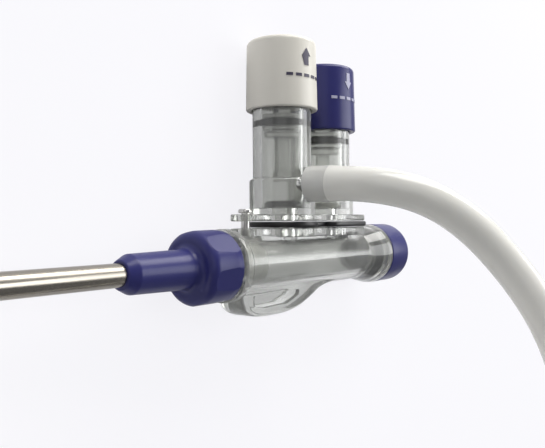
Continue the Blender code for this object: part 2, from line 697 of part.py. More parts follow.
def hose_route():
    """The hose from its cuff, over a high arch, round and down to the hank, in the handpiece frame."""
    floor_z = HANK_LOW + HOSE_R - AXIS_HEIGHT
    outer_y = HANK_Y - HANK_MEAN_R - 2 * HOSE_R
    ring_r = HANK_MEAN_R + HANK_WIDE / 2
    entry_x = HANK_X + (ring_r ** 2 - (HANK_MEAN_R + HOSE_R) ** 2) ** 0.5 + 2 * CLEAR
    arch = [(0.0257, 0.0205, 0.0173), (0.02575, 0.02048, 0.0190), (0.0266, 0.0201, 0.0235),
            (0.0295, 0.0192, 0.0306), (0.0340, 0.0166, 0.0384), (0.0401, 0.0100, 0.0465),
            (0.0450, 0.0023, 0.0522), (0.0484, -0.0085, 0.0595), (0.0500, -0.0213, 0.0655),
            (0.0508, -0.0363, 0.0684), (0.0513, -0.0525, 0.0661), (0.0471, -0.0734, 0.0570),
            (0.0362, -0.0902, 0.0425), (0.0196, -0.1014, 0.0266)]
    landing = [(0.0000, outer_y, 0.0122), (-0.0215, outer_y, 0.0009), (-0.0450, outer_y, floor_z),
               (entry_x, outer_y, floor_z)]
    return [Vector(point) for point in arch + landing]


def tube_along(name, points, radius):
    """A round tube with flat ends along a list of points."""
    curve = bpy.data.curves.new(name, "CURVE")
    curve.dimensions = "3D"
    curve.bevel_depth = radius
    curve.bevel_resolution = 4
    curve.use_fill_caps = True
    spline = curve.splines.new("POLY")
    spline.points.add(len(points) - 1)
    for target, point in zip(spline.points, points):
        target.co = (*point, 1)
    obj = closed_mesh(bpy.data.objects.new(name, curve))
    place(obj, (0, 0, 0))
    return finish(obj, "hose")


def hank_ring():
    """The outer shape of the wound hose: an extruded ring of two runs and two folds, with rounded edges."""
    curve = bpy.data.curves.new("hose_hank", "CURVE")
    curve.dimensions = "2D"
    curve.fill_mode = "BOTH"
    curve.extrude = HANK_HIGH / 2
    for radius in (HANK_MEAN_R + HANK_WIDE / 2, HANK_MEAN_R - HANK_WIDE / 2):
        outline = arc(HANK_X, HANK_Y, radius, -pi / 2, pi / 2, FOLD_STEPS)
        outline += arc(HANK_X - HANK_RUN, HANK_Y, radius, pi / 2, 3 * pi / 2, FOLD_STEPS)
        spline = curve.splines.new("POLY")
        spline.points.add(len(outline) - 1)
        for point, (x, y) in zip(spline.points, outline):
            point.co = (x, y, 0, 1)
        spline.use_cyclic_u = True
    obj = closed_mesh(bpy.data.objects.new("hose_hank", curve))
    rounding = obj.modifiers.new("rounded edges", "BEVEL")
    rounding.width = HANK_CORNER
    rounding.segments = 2
    rounding.use_clamp_overlap = False
    rounding.limit_method = "ANGLE"
    rounding.angle_limit = radians(50)
    obj = closed_mesh(obj)
    place(obj, (0, 0, HANK_LOW + HANK_HIGH / 2 - AXIS_HEIGHT))
    return finish(obj, "hose")


def tail_frame():
    """The start of the hose's free tail on top of the hank, and its direction."""
    start = Vector((TAIL_X, HANK_Y - HANK_MEAN_R, TAIL_HEIGHT - AXIS_HEIGHT))
    return start, Vector((-1, 0, 0))


def connector():
    """The stepped connector on the hose's end: a sleeve, a collar and a tapered spigot."""
    start, along = tail_frame()
    at = start + along * (TAIL_LENGTH + CLEAR)
    axes = along.to_track_quat("Z", "Y").to_matrix().to_4x4()
    length, sleeve_end, collar_end = CONNECTOR_LENGTH, 0.0120, 0.0150
    collar_r, spigot_r, taper_r, tip_r = 0.0049, 0.0044, 0.0036, 0.0030
    edge = 0.0006
    profile = [(0, PORT_BORE_R), (0, CONNECTOR_R - edge), (edge, CONNECTOR_R), (sleeve_end, CONNECTOR_R),
               (sleeve_end + edge, collar_r), (collar_end, collar_r), (collar_end + edge, spigot_r),
               (length - 0.0050, taper_r), (length, tip_r), (length, PORT_BORE_R)]
    return finish(turned("hose_connector", profile, SMALL, at, axes), "blue")


def hank_tie():
    """The strap round one run of the hank: a rounded loop of flat band."""
    height = HANK_HIGH / 2 + CLEAR
    width = HANK_WIDE / 2 + TIE_SLACK
    curve = bpy.data.curves.new("hank_tie", "CURVE")
    curve.dimensions = "2D"
    curve.fill_mode = "BOTH"
    curve.extrude = TIE_WIDTH / 2
    for thick in (TIE_THICK, 0):
        spline = curve.splines.new("POLY")
        corner = TIE_CORNER + thick
        points = []
        for quarter in range(4):
            turn = quarter * pi / 2
            middle_x = (width + thick - corner) * (1 if quarter in (0, 3) else -1)
            middle_y = (height + thick - corner) * (1 if quarter in (0, 1) else -1)
            points += arc(middle_x, middle_y, corner, turn, turn + pi / 2, 3)
        spline.points.add(len(points) - 1)
        for target, (x, y) in zip(spline.points, points):
            target.co = (x, y, 0, 1)
        spline.use_cyclic_u = True
    obj = closed_mesh(bpy.data.objects.new("hank_tie", curve))
    at = (HANK_X - HANK_RUN / 2, HANK_Y + HANK_MEAN_R, HANK_LOW - AXIS_HEIGHT + HANK_HIGH / 2)
    place(obj, at, Matrix.Rotation(pi / 2, 4, "Z") @ Matrix.Rotation(pi / 2, 4, "X"))
    return finish(obj, "tie")


def hose():
    """The suction hose: its free stretch, the hank, the tail with its connector, and the tie."""
    tube_along("suction_hose", smooth_route(hose_route(), 2), HOSE_R)
    hank_ring()
    start, along = tail_frame()
    tube_along("hose_tail", [start + along * TAIL_LENGTH * i / 2 for i in range(3)], HOSE_R)
    connector()
    hank_tie()


cannula_tube()
hub()
ferrule()
o_ring("ferrule_ring", FERRULE_RING_X, FERRULE_RING_SECTION, FERRULE_SLEEVE_R, SMALL, (0, 0, 0), ALONG_X)
barrel()
base_gasket()
valve_block()
valve("suction", SUCTION_X, SUCTION_CAP_RIM_Y, RING_BELOW_CAP_RIM[0], "white")
valve("irrigation", IRRIGATION_X, IRRIGATION_CAP_RIM_Y, RING_BELOW_CAP_RIM[1], "blue")
rear_cap()
o_ring("rear_cap_ring", REAR_RING_X, REAR_RING_SECTION, PLUG_R, MEDIUM, (0, 0, 0), ALONG_X)
lug_pin()
hose_cuff()
hose()
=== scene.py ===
"""Looks of a suction cannula: clear trumpet-valve handpiece, steel tube and milky suction hose.

Every piece is built in the handpiece frame and then moved to its place: the origin lies on the
barrel's axis at the front of the clear flange, +X runs back along the barrel, +Y up the valves
and +Z out of the hose port, which points up as the handpiece lies on its side.
"""
from __future__ import annotations

import logging
import math
from dataclasses import dataclass, field
from enum import Enum
from typing import Callable, Iterable, Sequence

import bmesh
import bpy
from mathutils import Matrix, Vector

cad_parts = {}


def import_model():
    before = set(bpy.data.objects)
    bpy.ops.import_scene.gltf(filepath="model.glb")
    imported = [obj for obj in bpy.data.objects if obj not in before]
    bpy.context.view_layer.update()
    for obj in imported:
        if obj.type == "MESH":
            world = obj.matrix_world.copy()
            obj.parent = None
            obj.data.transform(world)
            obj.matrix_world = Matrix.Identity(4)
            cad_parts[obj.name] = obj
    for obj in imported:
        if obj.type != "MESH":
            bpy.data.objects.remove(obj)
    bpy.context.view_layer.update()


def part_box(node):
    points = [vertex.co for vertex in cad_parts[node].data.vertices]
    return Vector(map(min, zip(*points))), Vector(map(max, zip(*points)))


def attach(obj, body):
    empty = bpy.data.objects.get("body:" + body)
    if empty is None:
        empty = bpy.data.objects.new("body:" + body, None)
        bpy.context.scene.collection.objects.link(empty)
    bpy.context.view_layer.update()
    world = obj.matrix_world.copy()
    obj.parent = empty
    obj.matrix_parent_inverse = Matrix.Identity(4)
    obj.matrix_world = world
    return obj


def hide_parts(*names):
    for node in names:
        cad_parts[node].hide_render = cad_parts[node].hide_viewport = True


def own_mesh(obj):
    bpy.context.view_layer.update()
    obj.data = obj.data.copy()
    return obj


LOG = logging.getLogger("suction_cannula")

Point2 = tuple[float, float]
Color = tuple[float, float, float]

# Corners of a profile or outline are given as (along, across, rounding)
Corner = tuple[float, float, float]

HANDPIECE = "handpiece"
WELD = 0.000002

# Sides of large and small round pieces, and the steps of a rounded edge
FINE = 128
SMALL = 64
ROUND_STEPS = 5

# Sides of round holes, unlike those of the pieces around them, so that no edges line up
SIDE_HOLE_SIDES = 32
PASSAGE_SIDES = 62
PORT_BORE_SIDES = 46
PIN_HOLE_SIDES = 30

# How far a cutter reaches past the solid that it cuts
PAST = 0.001

# Places of a Mix node's colour sockets, whose names its other sockets share
MIX_FIRST = 6
MIX_SECOND = 7
MIX_RESULT = 2


class Axis(Enum):
    """The three directions that turned pieces stand along."""

    BARREL = "X"
    VALVE = "Y"
    PORT = "Z"

    def matrix(self) -> Matrix:
        """The turn from a piece's own +Z to this axis.

        Returns:
            The turn's matrix.
        """
        if self is Axis.BARREL:
            return Matrix.Rotation(math.pi / 2, 4, "Y")
        if self is Axis.VALVE:
            return Matrix.Rotation(-math.pi / 2, 4, "X")
        return Matrix.Identity(4)


class Joining(Enum):
    """Ways to combine two solids."""

    JOIN = "UNION"
    CUT = "DIFFERENCE"
    KEEP_COMMON = "INTERSECT"


class Tint(Enum):
    """Base colours read from the photograph, as linear values."""

    BLUE = (0.025, 0.026, 0.140)
    WARM_WHITE = (0.76, 0.735, 0.665)
    FERRULE_WHITE = (0.80, 0.80, 0.78)
    CLEAR = (0.82, 0.83, 0.80)
    CLEAR_HOSE = (0.93, 0.93, 0.90)
    SILICONE = (0.62, 0.62, 0.59)
    MILKY = (0.95, 0.93, 0.865)
    STEEL = (0.33, 0.305, 0.265)
    BRIGHT_STEEL = (0.62, 0.61, 0.59)
    RUBBER = (0.008, 0.008, 0.009)
    INK = (0.055, 0.048, 0.085)
    PALE_INK = (0.42, 0.42, 0.56)
    STRAP = (0.55, 0.56, 0.60)


# Node helpers


class Nodes:
    """A short way to add and link nodes in one tree."""

    def __init__(self, tree: bpy.types.NodeTree) -> None:
        """Wrap a node tree."""
        self.tree = tree

    def add(self, kind: str, inputs: dict[str, object] | None = None, **settings: object) -> bpy.types.Node:
        """Add a node, set its properties and give or link its inputs.

        Args:
            kind: the node's Blender type name.
            inputs: values by input name; a socket is linked and anything else is set.
            settings: node properties, such as operation.

        Returns:
            The new node.
        """
        node = self.tree.nodes.new(kind)
        for name, value in settings.items():
            setattr(node, name, value)
        for name, value in (inputs or {}).items():
            self.feed(node.inputs[name], value)
        return node

    def feed(self, socket: bpy.types.NodeSocket, value: object) -> None:
        """Link a socket to another one, or set its value.

        Args:
            socket: the input socket.
            value: a socket to link, or a plain value.
        """
        if isinstance(value, bpy.types.NodeSocket):
            self.tree.links.new(value, socket)
        else:
            socket.default_value = value

    def math(self, operation: str, first: object, second: object = 0.0) -> bpy.types.NodeSocket:
        """Add a Math node.

        Args:
            operation: what it works out.
            first: its first value or socket.
            second: its second value or socket.

        Returns:
            The result's socket.
        """
        node = self.add("ShaderNodeMath", operation=operation)
        self.feed(node.inputs[0], first)
        self.feed(node.inputs[1], second)
        return node.outputs[0]

    def group(self, name: str, inputs: dict[str, object]) -> bpy.types.Node:
        """Place a shared node group.

        Args:
            name: the group's name.
            inputs: values or sockets by input name.

        Returns:
            The group's node.
        """
        node = self.add("ShaderNodeGroup", node_tree=bpy.data.node_groups[name])
        for socket, value in inputs.items():
            self.feed(node.inputs[socket], value)
        return node

    def blend(self, share: object, first: object, second: object, way: str = "MIX") -> bpy.types.NodeSocket:
        """Mix two colours.

        Args:
            share: how much of the second colour shows.
            first: the first colour or socket.
            second: the second colour or socket.
            way: the blend type.

        Returns:
            The mixed colour's socket.
        """
        node = self.add("ShaderNodeMix", data_type="RGBA", blend_type=way)
        self.feed(node.inputs["Factor"], share)
        self.feed(node.inputs[MIX_FIRST], first)
        self.feed(node.inputs[MIX_SECOND], second)
        return node.outputs[MIX_RESULT]

    def spread(self, value: object, low: float, high: float,
               source: Point2 = (0.0, 1.0)) -> bpy.types.NodeSocket:
        """Map a value from one range to another.

        Args:
            value: the value's socket.
            low: the new range's lower end.
            high: the new range's upper end.
            source: the range that the value comes in.

        Returns:
            The mapped value's socket.
        """
        inputs = {"Value": value, "From Min": source[0], "From Max": source[1], "To Min": low, "To Max": high}
        return self.add("ShaderNodeMapRange", inputs).outputs["Result"]

    def bump(self, height: object, strength: float, distance: float) -> bpy.types.NodeSocket:
        """Turn a height into a normal.

        Args:
            height: the height's socket.
            strength: how strongly it shows.
            distance: the height's real size.

        Returns:
            The normal's socket.
        """
        node = self.add("ShaderNodeBump", {"Height": height, "Strength": strength, "Distance": distance})
        return node.outputs["Normal"]


def new_group(name: str, inputs: dict[str, tuple[str, object]], outputs: dict[str, str]) -> Nodes:
    """Start a shader node group with named sockets.

    Args:
        name: the group's name.
        inputs: socket type and default by name.
        outputs: socket type by name.

    Returns:
        The helper for the group's tree, with its input and output nodes named "in" and "out".
    """
    tree = bpy.data.node_groups.new(name, "ShaderNodeTree")
    for socket, (kind, default) in inputs.items():
        made = tree.interface.new_socket(socket, in_out="INPUT", socket_type=kind)
        if default is not None:
            made.default_value = default
    for socket, kind in outputs.items():
        tree.interface.new_socket(socket, in_out="OUTPUT", socket_type=kind)
    nodes = Nodes(tree)
    nodes.add("NodeGroupInput", name="in")
    nodes.add("NodeGroupOutput", name="out")
    return nodes


def build_grain_group() -> None:
    """Moulding grain: a height and a soft value that change over a surface."""
    sockets = {"Vector": ("NodeSocketVector", None), "Scale": ("NodeSocketFloat", 900.0),
               "Cloud Scale": ("NodeSocketFloat", 120.0)}
    nodes = new_group("moulding_grain", sockets, {"Height": "NodeSocketFloat", "Cloud": "NodeSocketFloat"})
    source, target = nodes.tree.nodes["in"], nodes.tree.nodes["out"]
    vector = source.outputs["Vector"]
    fine = nodes.add("ShaderNodeTexNoise", {"Vector": vector, "Scale": source.outputs["Scale"],
                                            "Detail": 3.0, "Roughness": 0.6})
    cloud = nodes.add("ShaderNodeTexNoise", {"Vector": vector, "Scale": source.outputs["Cloud Scale"],
                                             "Detail": 2.0})
    nodes.feed(target.inputs["Height"], fine.outputs["Fac"])
    nodes.feed(target.inputs["Cloud"], cloud.outputs["Fac"])


def build_edge_highlight_group() -> None:
    """Painted edge highlight: a mask that is high on the sharp outer edges of a piece, where a lighter colour
    is painted as a highlight.
    """
    sockets = {"Vector": ("NodeSocketVector", None), "Amount": ("NodeSocketFloat", 0.5)}
    nodes = new_group("painted_edge_highlight", sockets, {"Mask": "NodeSocketFloat"})
    source, target = nodes.tree.nodes["in"], nodes.tree.nodes["out"]
    bend = nodes.add("ShaderNodeNewGeometry").outputs["Pointiness"]
    noise = nodes.add("ShaderNodeTexNoise", {"Vector": source.outputs["Vector"], "Scale": 1400.0,
                                             "Detail": 4.0})
    raised = nodes.spread(bend, 0.0, 1.0, (0.52, 0.62))
    broken = nodes.math("MULTIPLY", raised, noise.outputs["Fac"])
    nodes.feed(target.inputs["Mask"], nodes.math("MULTIPLY", broken, source.outputs["Amount"]))


def new_material(name: str) -> tuple[bpy.types.Material, Nodes, bpy.types.Node]:
    """Make a node material.

    Args:
        name: the material's name.

    Returns:
        The material, the helper for its tree and its Principled BSDF node.
    """
    made = bpy.data.materials.new(name)
    made.use_nodes = True
    return made, Nodes(made.node_tree), made.node_tree.nodes["Principled BSDF"]


def object_vector(nodes: Nodes, stretch: Sequence[float] = (1, 1, 1)) -> bpy.types.NodeSocket:
    """Object coordinates, stretched along the axes.

    Args:
        nodes: the material's nodes.
        stretch: the factor along each axis.

    Returns:
        The coordinates' socket.
    """
    source = nodes.add("ShaderNodeTexCoord").outputs["Object"]
    if tuple(stretch) == (1, 1, 1):
        return source
    return nodes.add("ShaderNodeMapping", {"Vector": source, "Scale": tuple(stretch)}).outputs["Vector"]


# Finishes


@dataclass(frozen=True)
class MouldedPlastic:
    """Opaque satin plastic with a fine grain, faint clouding and a painted highlight on its sharp edges."""

    name: str
    tint: Tint
    edge_highlight: Color
    roughness: float = 0.3
    grain: float = 0.06

    def material(self) -> bpy.types.Material:
        """Build the material.

        Returns:
            The new material.
        """
        made, nodes, shader = new_material(self.name)
        vector = object_vector(nodes)
        grain = nodes.group("moulding_grain", {"Vector": vector, "Scale": 2200.0, "Cloud Scale": 160.0})
        # Sharp outer edges are painted a lighter colour as a painted highlight.
        highlight_mask = nodes.group("painted_edge_highlight", {"Vector": vector, "Amount": 0.45})
        color = nodes.blend(highlight_mask.outputs["Mask"], (*self.tint.value, 1), (*self.edge_highlight, 1))
        nodes.feed(shader.inputs["Base Color"], color)
        rough = nodes.spread(grain.outputs["Cloud"], self.roughness - 0.05, self.roughness + 0.07)
        nodes.feed(shader.inputs["Roughness"], rough)
        nodes.feed(shader.inputs["Normal"], nodes.bump(grain.outputs["Height"], self.grain, 0.00008))
        shader.inputs["IOR"].default_value = 1.5
        shader.inputs["Specular IOR Level"].default_value = 0.30
        shader.inputs["Coat Roughness"].default_value = 0.15
        shader.inputs["Coat Weight"].default_value = 0.08
        return made


@dataclass(frozen=True)
class ClearPlastic:
    """Clear moulded plastic with faint flow waves and a slightly uneven gloss."""

    name: str
    tint: Tint = Tint.CLEAR
    roughness: float = 0.08
    waves: float = 0.05
    ior: float = 1.45
    see_through: float = 0.88

    def material(self) -> bpy.types.Material:
        """Build the material.

        Returns:
            The new material.
        """
        made, nodes, shader = new_material(self.name)
        vector = object_vector(nodes)
        waves = nodes.group("moulding_grain", {"Vector": vector, "Scale": 210.0, "Cloud Scale": 300.0})
        nodes.feed(shader.inputs["Base Color"], (*self.tint.value, 1))
        rough = nodes.spread(waves.outputs["Cloud"], self.roughness, self.roughness + 0.05, (0.35, 0.75))
        nodes.feed(shader.inputs["Roughness"], rough)
        nodes.feed(shader.inputs["Normal"], nodes.bump(waves.outputs["Height"], self.waves, 0.0006))
        shader.inputs["IOR"].default_value = self.ior
        shader.inputs["Transmission Weight"].default_value = self.see_through
        return made


@dataclass(frozen=True)
class MilkyHose:
    """Milky translucent tubing, greyer and clearer where it sits on the barbed port."""

    name: str
    clear_length: float
    clear_tint: Color = (0.76, 0.755, 0.71)

    def material(self) -> bpy.types.Material:
        """Build the material, which reads the hose's own map, whose U is the length in metres.

        Returns:
            The new material.
        """
        made, nodes, shader = new_material(self.name)
        along = nodes.add("ShaderNodeSeparateXYZ", {"Vector": nodes.add("ShaderNodeUVMap").outputs["UV"]})
        mask = nodes.add("ShaderNodeMapRange", {"Value": along.outputs["X"],
                                                "From Min": self.clear_length * 0.5,
                                                "From Max": self.clear_length * 12.0})
        mask.interpolation_type = "SMOOTHSTEP"
        milky = mask.outputs["Result"]
        color = nodes.blend(milky, (*self.clear_tint, 1), (*Tint.MILKY.value, 1))
        nodes.feed(shader.inputs["Base Color"], color)
        grain = nodes.group("moulding_grain", {"Vector": object_vector(nodes), "Scale": 900.0,
                                               "Cloud Scale": 90.0})
        nodes.feed(shader.inputs["Roughness"], nodes.spread(milky, 0.10, 0.30))
        nodes.feed(shader.inputs["Normal"], nodes.bump(grain.outputs["Height"], 0.03, 0.0001))
        shader.inputs["Subsurface Weight"].default_value = 0.2
        shader.inputs["Subsurface Radius"].default_value = (1.0, 0.95, 0.85)
        shader.inputs["Subsurface Scale"].default_value = 0.003
        shader.inputs["IOR"].default_value = 1.45
        return made


@dataclass(frozen=True)
class BrushedSteel:
    """Steel with brush lines that run along one axis."""

    name: str
    tint: Tint
    stretch: tuple[float, float, float]
    roughness: float = 0.22

    def material(self) -> bpy.types.Material:
        """Build the material.

        Returns:
            The new material.
        """
        made, nodes, shader = new_material(self.name)
        lines = nodes.group("moulding_grain", {"Vector": object_vector(nodes, self.stretch), "Scale": 2600.0,
                                               "Cloud Scale": 700.0})
        tone = nodes.spread(lines.outputs["Height"], 0.88, 1.08, (0.3, 0.7))
        color = nodes.blend(1.0, (*self.tint.value, 1), tone, "MULTIPLY")
        nodes.feed(shader.inputs["Base Color"], color)
        rough = nodes.spread(lines.outputs["Cloud"], self.roughness - 0.06, self.roughness + 0.08, (0.3, 0.7))
        nodes.feed(shader.inputs["Roughness"], rough)
        nodes.feed(shader.inputs["Normal"], nodes.bump(lines.outputs["Height"], 0.12, 0.00005))
        shader.inputs["Metallic"].default_value = 1.0
        return made


@dataclass(frozen=True)
class BlackRubber:
    """Black sealing rubber with a fine tooth and an uneven gloss."""

    name: str
    roughness: float = 0.34

    def material(self) -> bpy.types.Material:
        """Build the material.

        Returns:
            The new material.
        """
        made, nodes, shader = new_material(self.name)
        tooth = nodes.group("moulding_grain", {"Vector": object_vector(nodes), "Scale": 3000.0,
                                               "Cloud Scale": 240.0})
        nodes.feed(shader.inputs["Base Color"], (*Tint.RUBBER.value, 1))
        rough = nodes.spread(tooth.outputs["Cloud"], self.roughness - 0.06, self.roughness + 0.12)
        nodes.feed(shader.inputs["Roughness"], rough)
        nodes.feed(shader.inputs["Normal"], nodes.bump(tooth.outputs["Height"], 0.15, 0.00005))
        return made


@dataclass(frozen=True)
class PrintInk:
    """Pad-printed ink with slightly uneven cover."""

    name: str
    tint: Tint
    thin: Color

    def material(self) -> bpy.types.Material:
        """Build the material.

        Returns:
            The new material.
        """
        made, nodes, shader = new_material(self.name)
        cover = nodes.group("moulding_grain", {"Vector": object_vector(nodes), "Scale": 1500.0,
                                               "Cloud Scale": 700.0})
        thin = nodes.spread(cover.outputs["Height"], 0.0, 0.5, (0.55, 0.8))
        nodes.feed(shader.inputs["Base Color"], nodes.blend(thin, (*self.tint.value, 1), (*self.thin, 1)))
        shader.inputs["Roughness"].default_value = 0.45
        return made


@dataclass(frozen=True)
class WovenStrap:
    """A woven strap: over and under threads on the strap's own map."""

    name: str
    threads: float = 30.0
    gaps: Color = (0.30, 0.31, 0.36)

    def material(self) -> bpy.types.Material:
        """Build the material.

        Returns:
            The new material.
        """
        made, nodes, shader = new_material(self.name)
        uv = nodes.add("ShaderNodeUVMap").outputs["UV"]
        checks = nodes.add("ShaderNodeTexChecker", {"Vector": uv, "Scale": self.threads})
        noise = nodes.add("ShaderNodeTexNoise", {"Vector": uv, "Scale": self.threads * 6})
        height = nodes.math("ADD", checks.outputs["Fac"], noise.outputs["Fac"])
        share = nodes.math("MULTIPLY", height, 0.4)
        nodes.feed(shader.inputs["Base Color"], nodes.blend(share, (*Tint.STRAP.value, 1), (*self.gaps, 1)))
        nodes.feed(shader.inputs["Normal"], nodes.bump(height, 0.6, 0.0002))
        shader.inputs["Roughness"].default_value = 0.85
        shader.inputs["Sheen Weight"].default_value = 0.3
        return made


# Outlines and profiles


def rounded(corners: Sequence[Corner], closed: bool = True, steps: int = ROUND_STEPS) -> list[Point2]:
    """Round the corners of a line of points.

    Args:
        corners: points with the radius to round each one by.
        closed: whether the line closes on itself.
        steps: pieces of each round.

    Returns:
        The rounded line's points.
    """
    line: list[Point2] = []
    count = len(corners)
    for i, (x, y, radius) in enumerate(corners):
        end = not closed and i in (0, count - 1)
        here = Vector((x, y))
        before = Vector(corners[i - 1][:2]) - here
        after = Vector(corners[(i + 1) % count][:2]) - here
        if end or radius <= 0 or before.length == 0 or after.length == 0:
            line.append((x, y))
            continue
        half = before.angle(after) / 2
        reach = radius / math.tan(half)
        centre = here + (before.normalized() + after.normalized()).normalized() * (radius / math.sin(half))
        first = here + before.normalized() * reach - centre
        last = here + after.normalized() * reach - centre
        sweep = math.atan2(first.x * last.y - first.y * last.x, first.dot(last))
        for k in range(steps + 1):
            turn = sweep * k / steps
            spun = (first.x * math.cos(turn) - first.y * math.sin(turn),
                    first.x * math.sin(turn) + first.y * math.cos(turn))
            line.append((centre.x + spun[0], centre.y + spun[1]))
    return line


def arc(centre: Point2, radius: float, start: float, end: float, steps: int) -> list[Point2]:
    """Points on a circle from one angle to another.

    Args:
        centre: the circle's centre.
        radius: its radius.
        start: the first angle in radians.
        end: the last angle in radians.
        steps: how many steps there are between them.

    Returns:
        The points, with both ends.
    """
    turns = [start + (end - start) * i / steps for i in range(steps + 1)]
    return [(centre[0] + radius * math.cos(t), centre[1] + radius * math.sin(t)) for t in turns]


def inset(outline: Sequence[Point2], depth: float) -> list[Point2]:
    """Move each point of a counter-clockwise outline inwards.

    Args:
        outline: the outline's points.
        depth: how far they move, which is small.

    Returns:
        The moved points.
    """
    moved = []
    count = len(outline)
    for i, (x, y) in enumerate(outline):
        ahead = Vector(outline[(i + 1) % count]) - Vector((x, y))
        behind = Vector((x, y)) - Vector(outline[i - 1])
        inward = Vector((-ahead.y, ahead.x)).normalized() + Vector((-behind.y, behind.x)).normalized()
        share = max(inward.length_squared / 2, 0.5)
        moved.append((x + inward.x * depth / share, y + inward.y * depth / share))
    return moved


# Mesh building in the handpiece frame


def mesh_object(name: str, work: bmesh.types.BMesh, move: Matrix) -> bpy.types.Object:
    """Weld a built mesh, point its faces out, move it and wrap it in an object.

    Args:
        name: the object's name.
        work: the built mesh, which is freed.
        move: the turn and place that its points take.

    Returns:
        The new object, which isn't in the scene yet.
    """
    bmesh.ops.remove_doubles(work, verts=work.verts, dist=WELD)
    bmesh.ops.recalc_face_normals(work, faces=work.faces)
    mesh = bpy.data.meshes.new(name)
    work.to_mesh(mesh)
    work.free()
    mesh.transform(move)
    return bpy.data.objects.new(name, mesh)


def turned(name: str, profile: Sequence[Point2], axis: Axis, at: Sequence[float] = (0, 0, 0),
           sides: int = FINE, closed: bool = True) -> bpy.types.Object:
    """Turn a profile of (distance along the axis, radius) points into a solid.

    Args:
        name: the piece's name.
        profile: the outline; points at radius 0 lie on the axis.
        axis: the direction that the piece stands along.
        at: the axis's place in the handpiece frame.
        sides: faces round the axis.
        closed: whether the last point joins the first one.

    Returns:
        The new object, in the handpiece frame.
    """
    work = bmesh.new()
    rings: list[list[bmesh.types.BMVert]] = []
    for along, radius in profile:
        if radius <= WELD:
            rings.append([work.verts.new((0, 0, along))])
            continue
        turns = [2 * math.pi * i / sides for i in range(sides)]
        rings.append([work.verts.new((radius * math.cos(t), radius * math.sin(t), along)) for t in turns])
    pairs = list(zip(rings, rings[1:])) + ([(rings[-1], rings[0])] if closed else [])
    for lower, upper in pairs:
        for i in range(sides):
            k = (i + 1) % sides
            if len(lower) == 1 and len(upper) == 1:
                break
            if len(lower) == 1:
                work.faces.new((lower[0], upper[k], upper[i]))
            elif len(upper) == 1:
                work.faces.new((lower[i], lower[k], upper[0]))
            else:
                work.faces.new((lower[i], lower[k], upper[k], upper[i]))
    return mesh_object(name, work, Matrix.Translation(at) @ axis.matrix())


def rod(name: str, low: float, high: float, radius: float, axis: Axis, at: Sequence[float] = (0, 0, 0),
        sides: int = SMALL) -> bpy.types.Object:
    """A plain rod, mostly used to cut a round hole.

    Args:
        name: the piece's name.
        low: where it starts along the axis.
        high: where it ends along the axis.
        radius: its radius.
        axis: the direction that it stands along.
        at: the axis's place in the handpiece frame.
        sides: faces round the axis.

    Returns:
        The new object, in the handpiece frame.
    """
    return turned(name, [(low, 0), (low, radius), (high, radius), (high, 0)], axis, at, sides)


def slab(name: str, outline: Sequence[Point2], low: float, high: float, edge: float,
         move: Matrix) -> bpy.types.Object:
    """Extrude a counter-clockwise outline between two heights, with rounded edges.

    Args:
        name: the piece's name.
        outline: the flat outline.
        low: the lower face's height.
        high: the upper face's height.
        edge: the rounding of both rims.
        move: the turn and place of the slab's plane in the handpiece frame.

    Returns:
        The new object, in the handpiece frame.
    """
    work = bmesh.new()
    turns = [math.pi / 2 * i / ROUND_STEPS for i in range(ROUND_STEPS + 1)]
    layers = [(low + edge * (1 - math.sin(t)), edge * (1 - math.cos(t))) for t in reversed(turns)]
    layers += [(high - edge * (1 - math.sin(t)), edge * (1 - math.cos(t))) for t in turns]
    rings = [[work.verts.new((x, y, height)) for x, y in inset(outline, depth)] for height, depth in layers]
    count = len(outline)
    for lower, upper in zip(rings, rings[1:]):
        for i in range(count):
            work.faces.new((lower[i], lower[(i + 1) % count], upper[(i + 1) % count], upper[i]))
    work.faces.new(list(reversed(rings[0])))
    work.faces.new(rings[-1])
    return mesh_object(name, work, move)


def combine(base: bpy.types.Object, tools: Iterable[tuple[bpy.types.Object, Joining]]) -> bpy.types.Object:
    """Apply boolean tools to a solid one after another, and delete them.

    Args:
        base: the solid, which is replaced.
        tools: each tool and how it acts.

    Returns:
        The combined solid under the base's name.
    """
    scene = bpy.context.scene.collection
    scene.objects.link(base)
    used = list(tools)
    for tool, way in used:
        scene.objects.link(tool)
        modifier = base.modifiers.new(tool.name, "BOOLEAN")
        modifier.operation = way.value
        modifier.solver = "EXACT"
        modifier.object = tool
    name = base.name
    base.name = name + "_base"
    made = bpy.data.objects.new(name, plain_mesh(base))
    for spent in [base] + [tool for tool, _ in used]:
        bpy.data.objects.remove(spent, do_unlink=True)
    return made


def plain_mesh(obj: bpy.types.Object) -> bpy.types.Mesh:
    """The evaluated mesh of an object that is in the scene."""
    graph = bpy.context.evaluated_depsgraph_get()
    return bpy.data.meshes.new_from_object(obj.evaluated_get(graph))


@dataclass
class Bench:
    """Where pieces are finished: it knows the handpiece's place and puts each piece there."""

    origin: Vector
    finishes: dict[str, bpy.types.Material] = field(default_factory=dict)

    def add(self, obj: bpy.types.Object, body: str, finish: str, slot: str, nodes: Sequence[str] = (),
            sharp: float = 35.0) -> bpy.types.Object:
        """Put a built piece in the row frame, dress it and make it ride on its body.

        Args:
            obj: the piece, built in the handpiece frame.
            body: the body that carries it.
            finish: the name of its material.
            slot: not used.
            nodes: the CAD nodes that it stands for.
            sharp: the angle in degrees above which an edge stays sharp.

        Returns:
            The finished piece.
        """
        mesh = obj.data
        mesh.transform(Matrix.Translation(self.origin))
        mesh.materials.clear()
        mesh.materials.append(self.finishes[finish])
        mesh.shade_smooth()
        mesh.set_sharp_from_angle(angle=math.radians(sharp))
        if obj.name not in bpy.context.scene.collection.objects:
            bpy.context.scene.collection.objects.link(obj)
        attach(obj, body)
        if nodes:
            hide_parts(*nodes)
        LOG.info("%s: %d faces on %s", obj.name, len(mesh.polygons), body)
        return obj

    def row(self, point: Sequence[float]) -> Vector:
        """A handpiece-frame point in the row frame."""
        return Vector(point) + self.origin


# Geometry Nodes tools


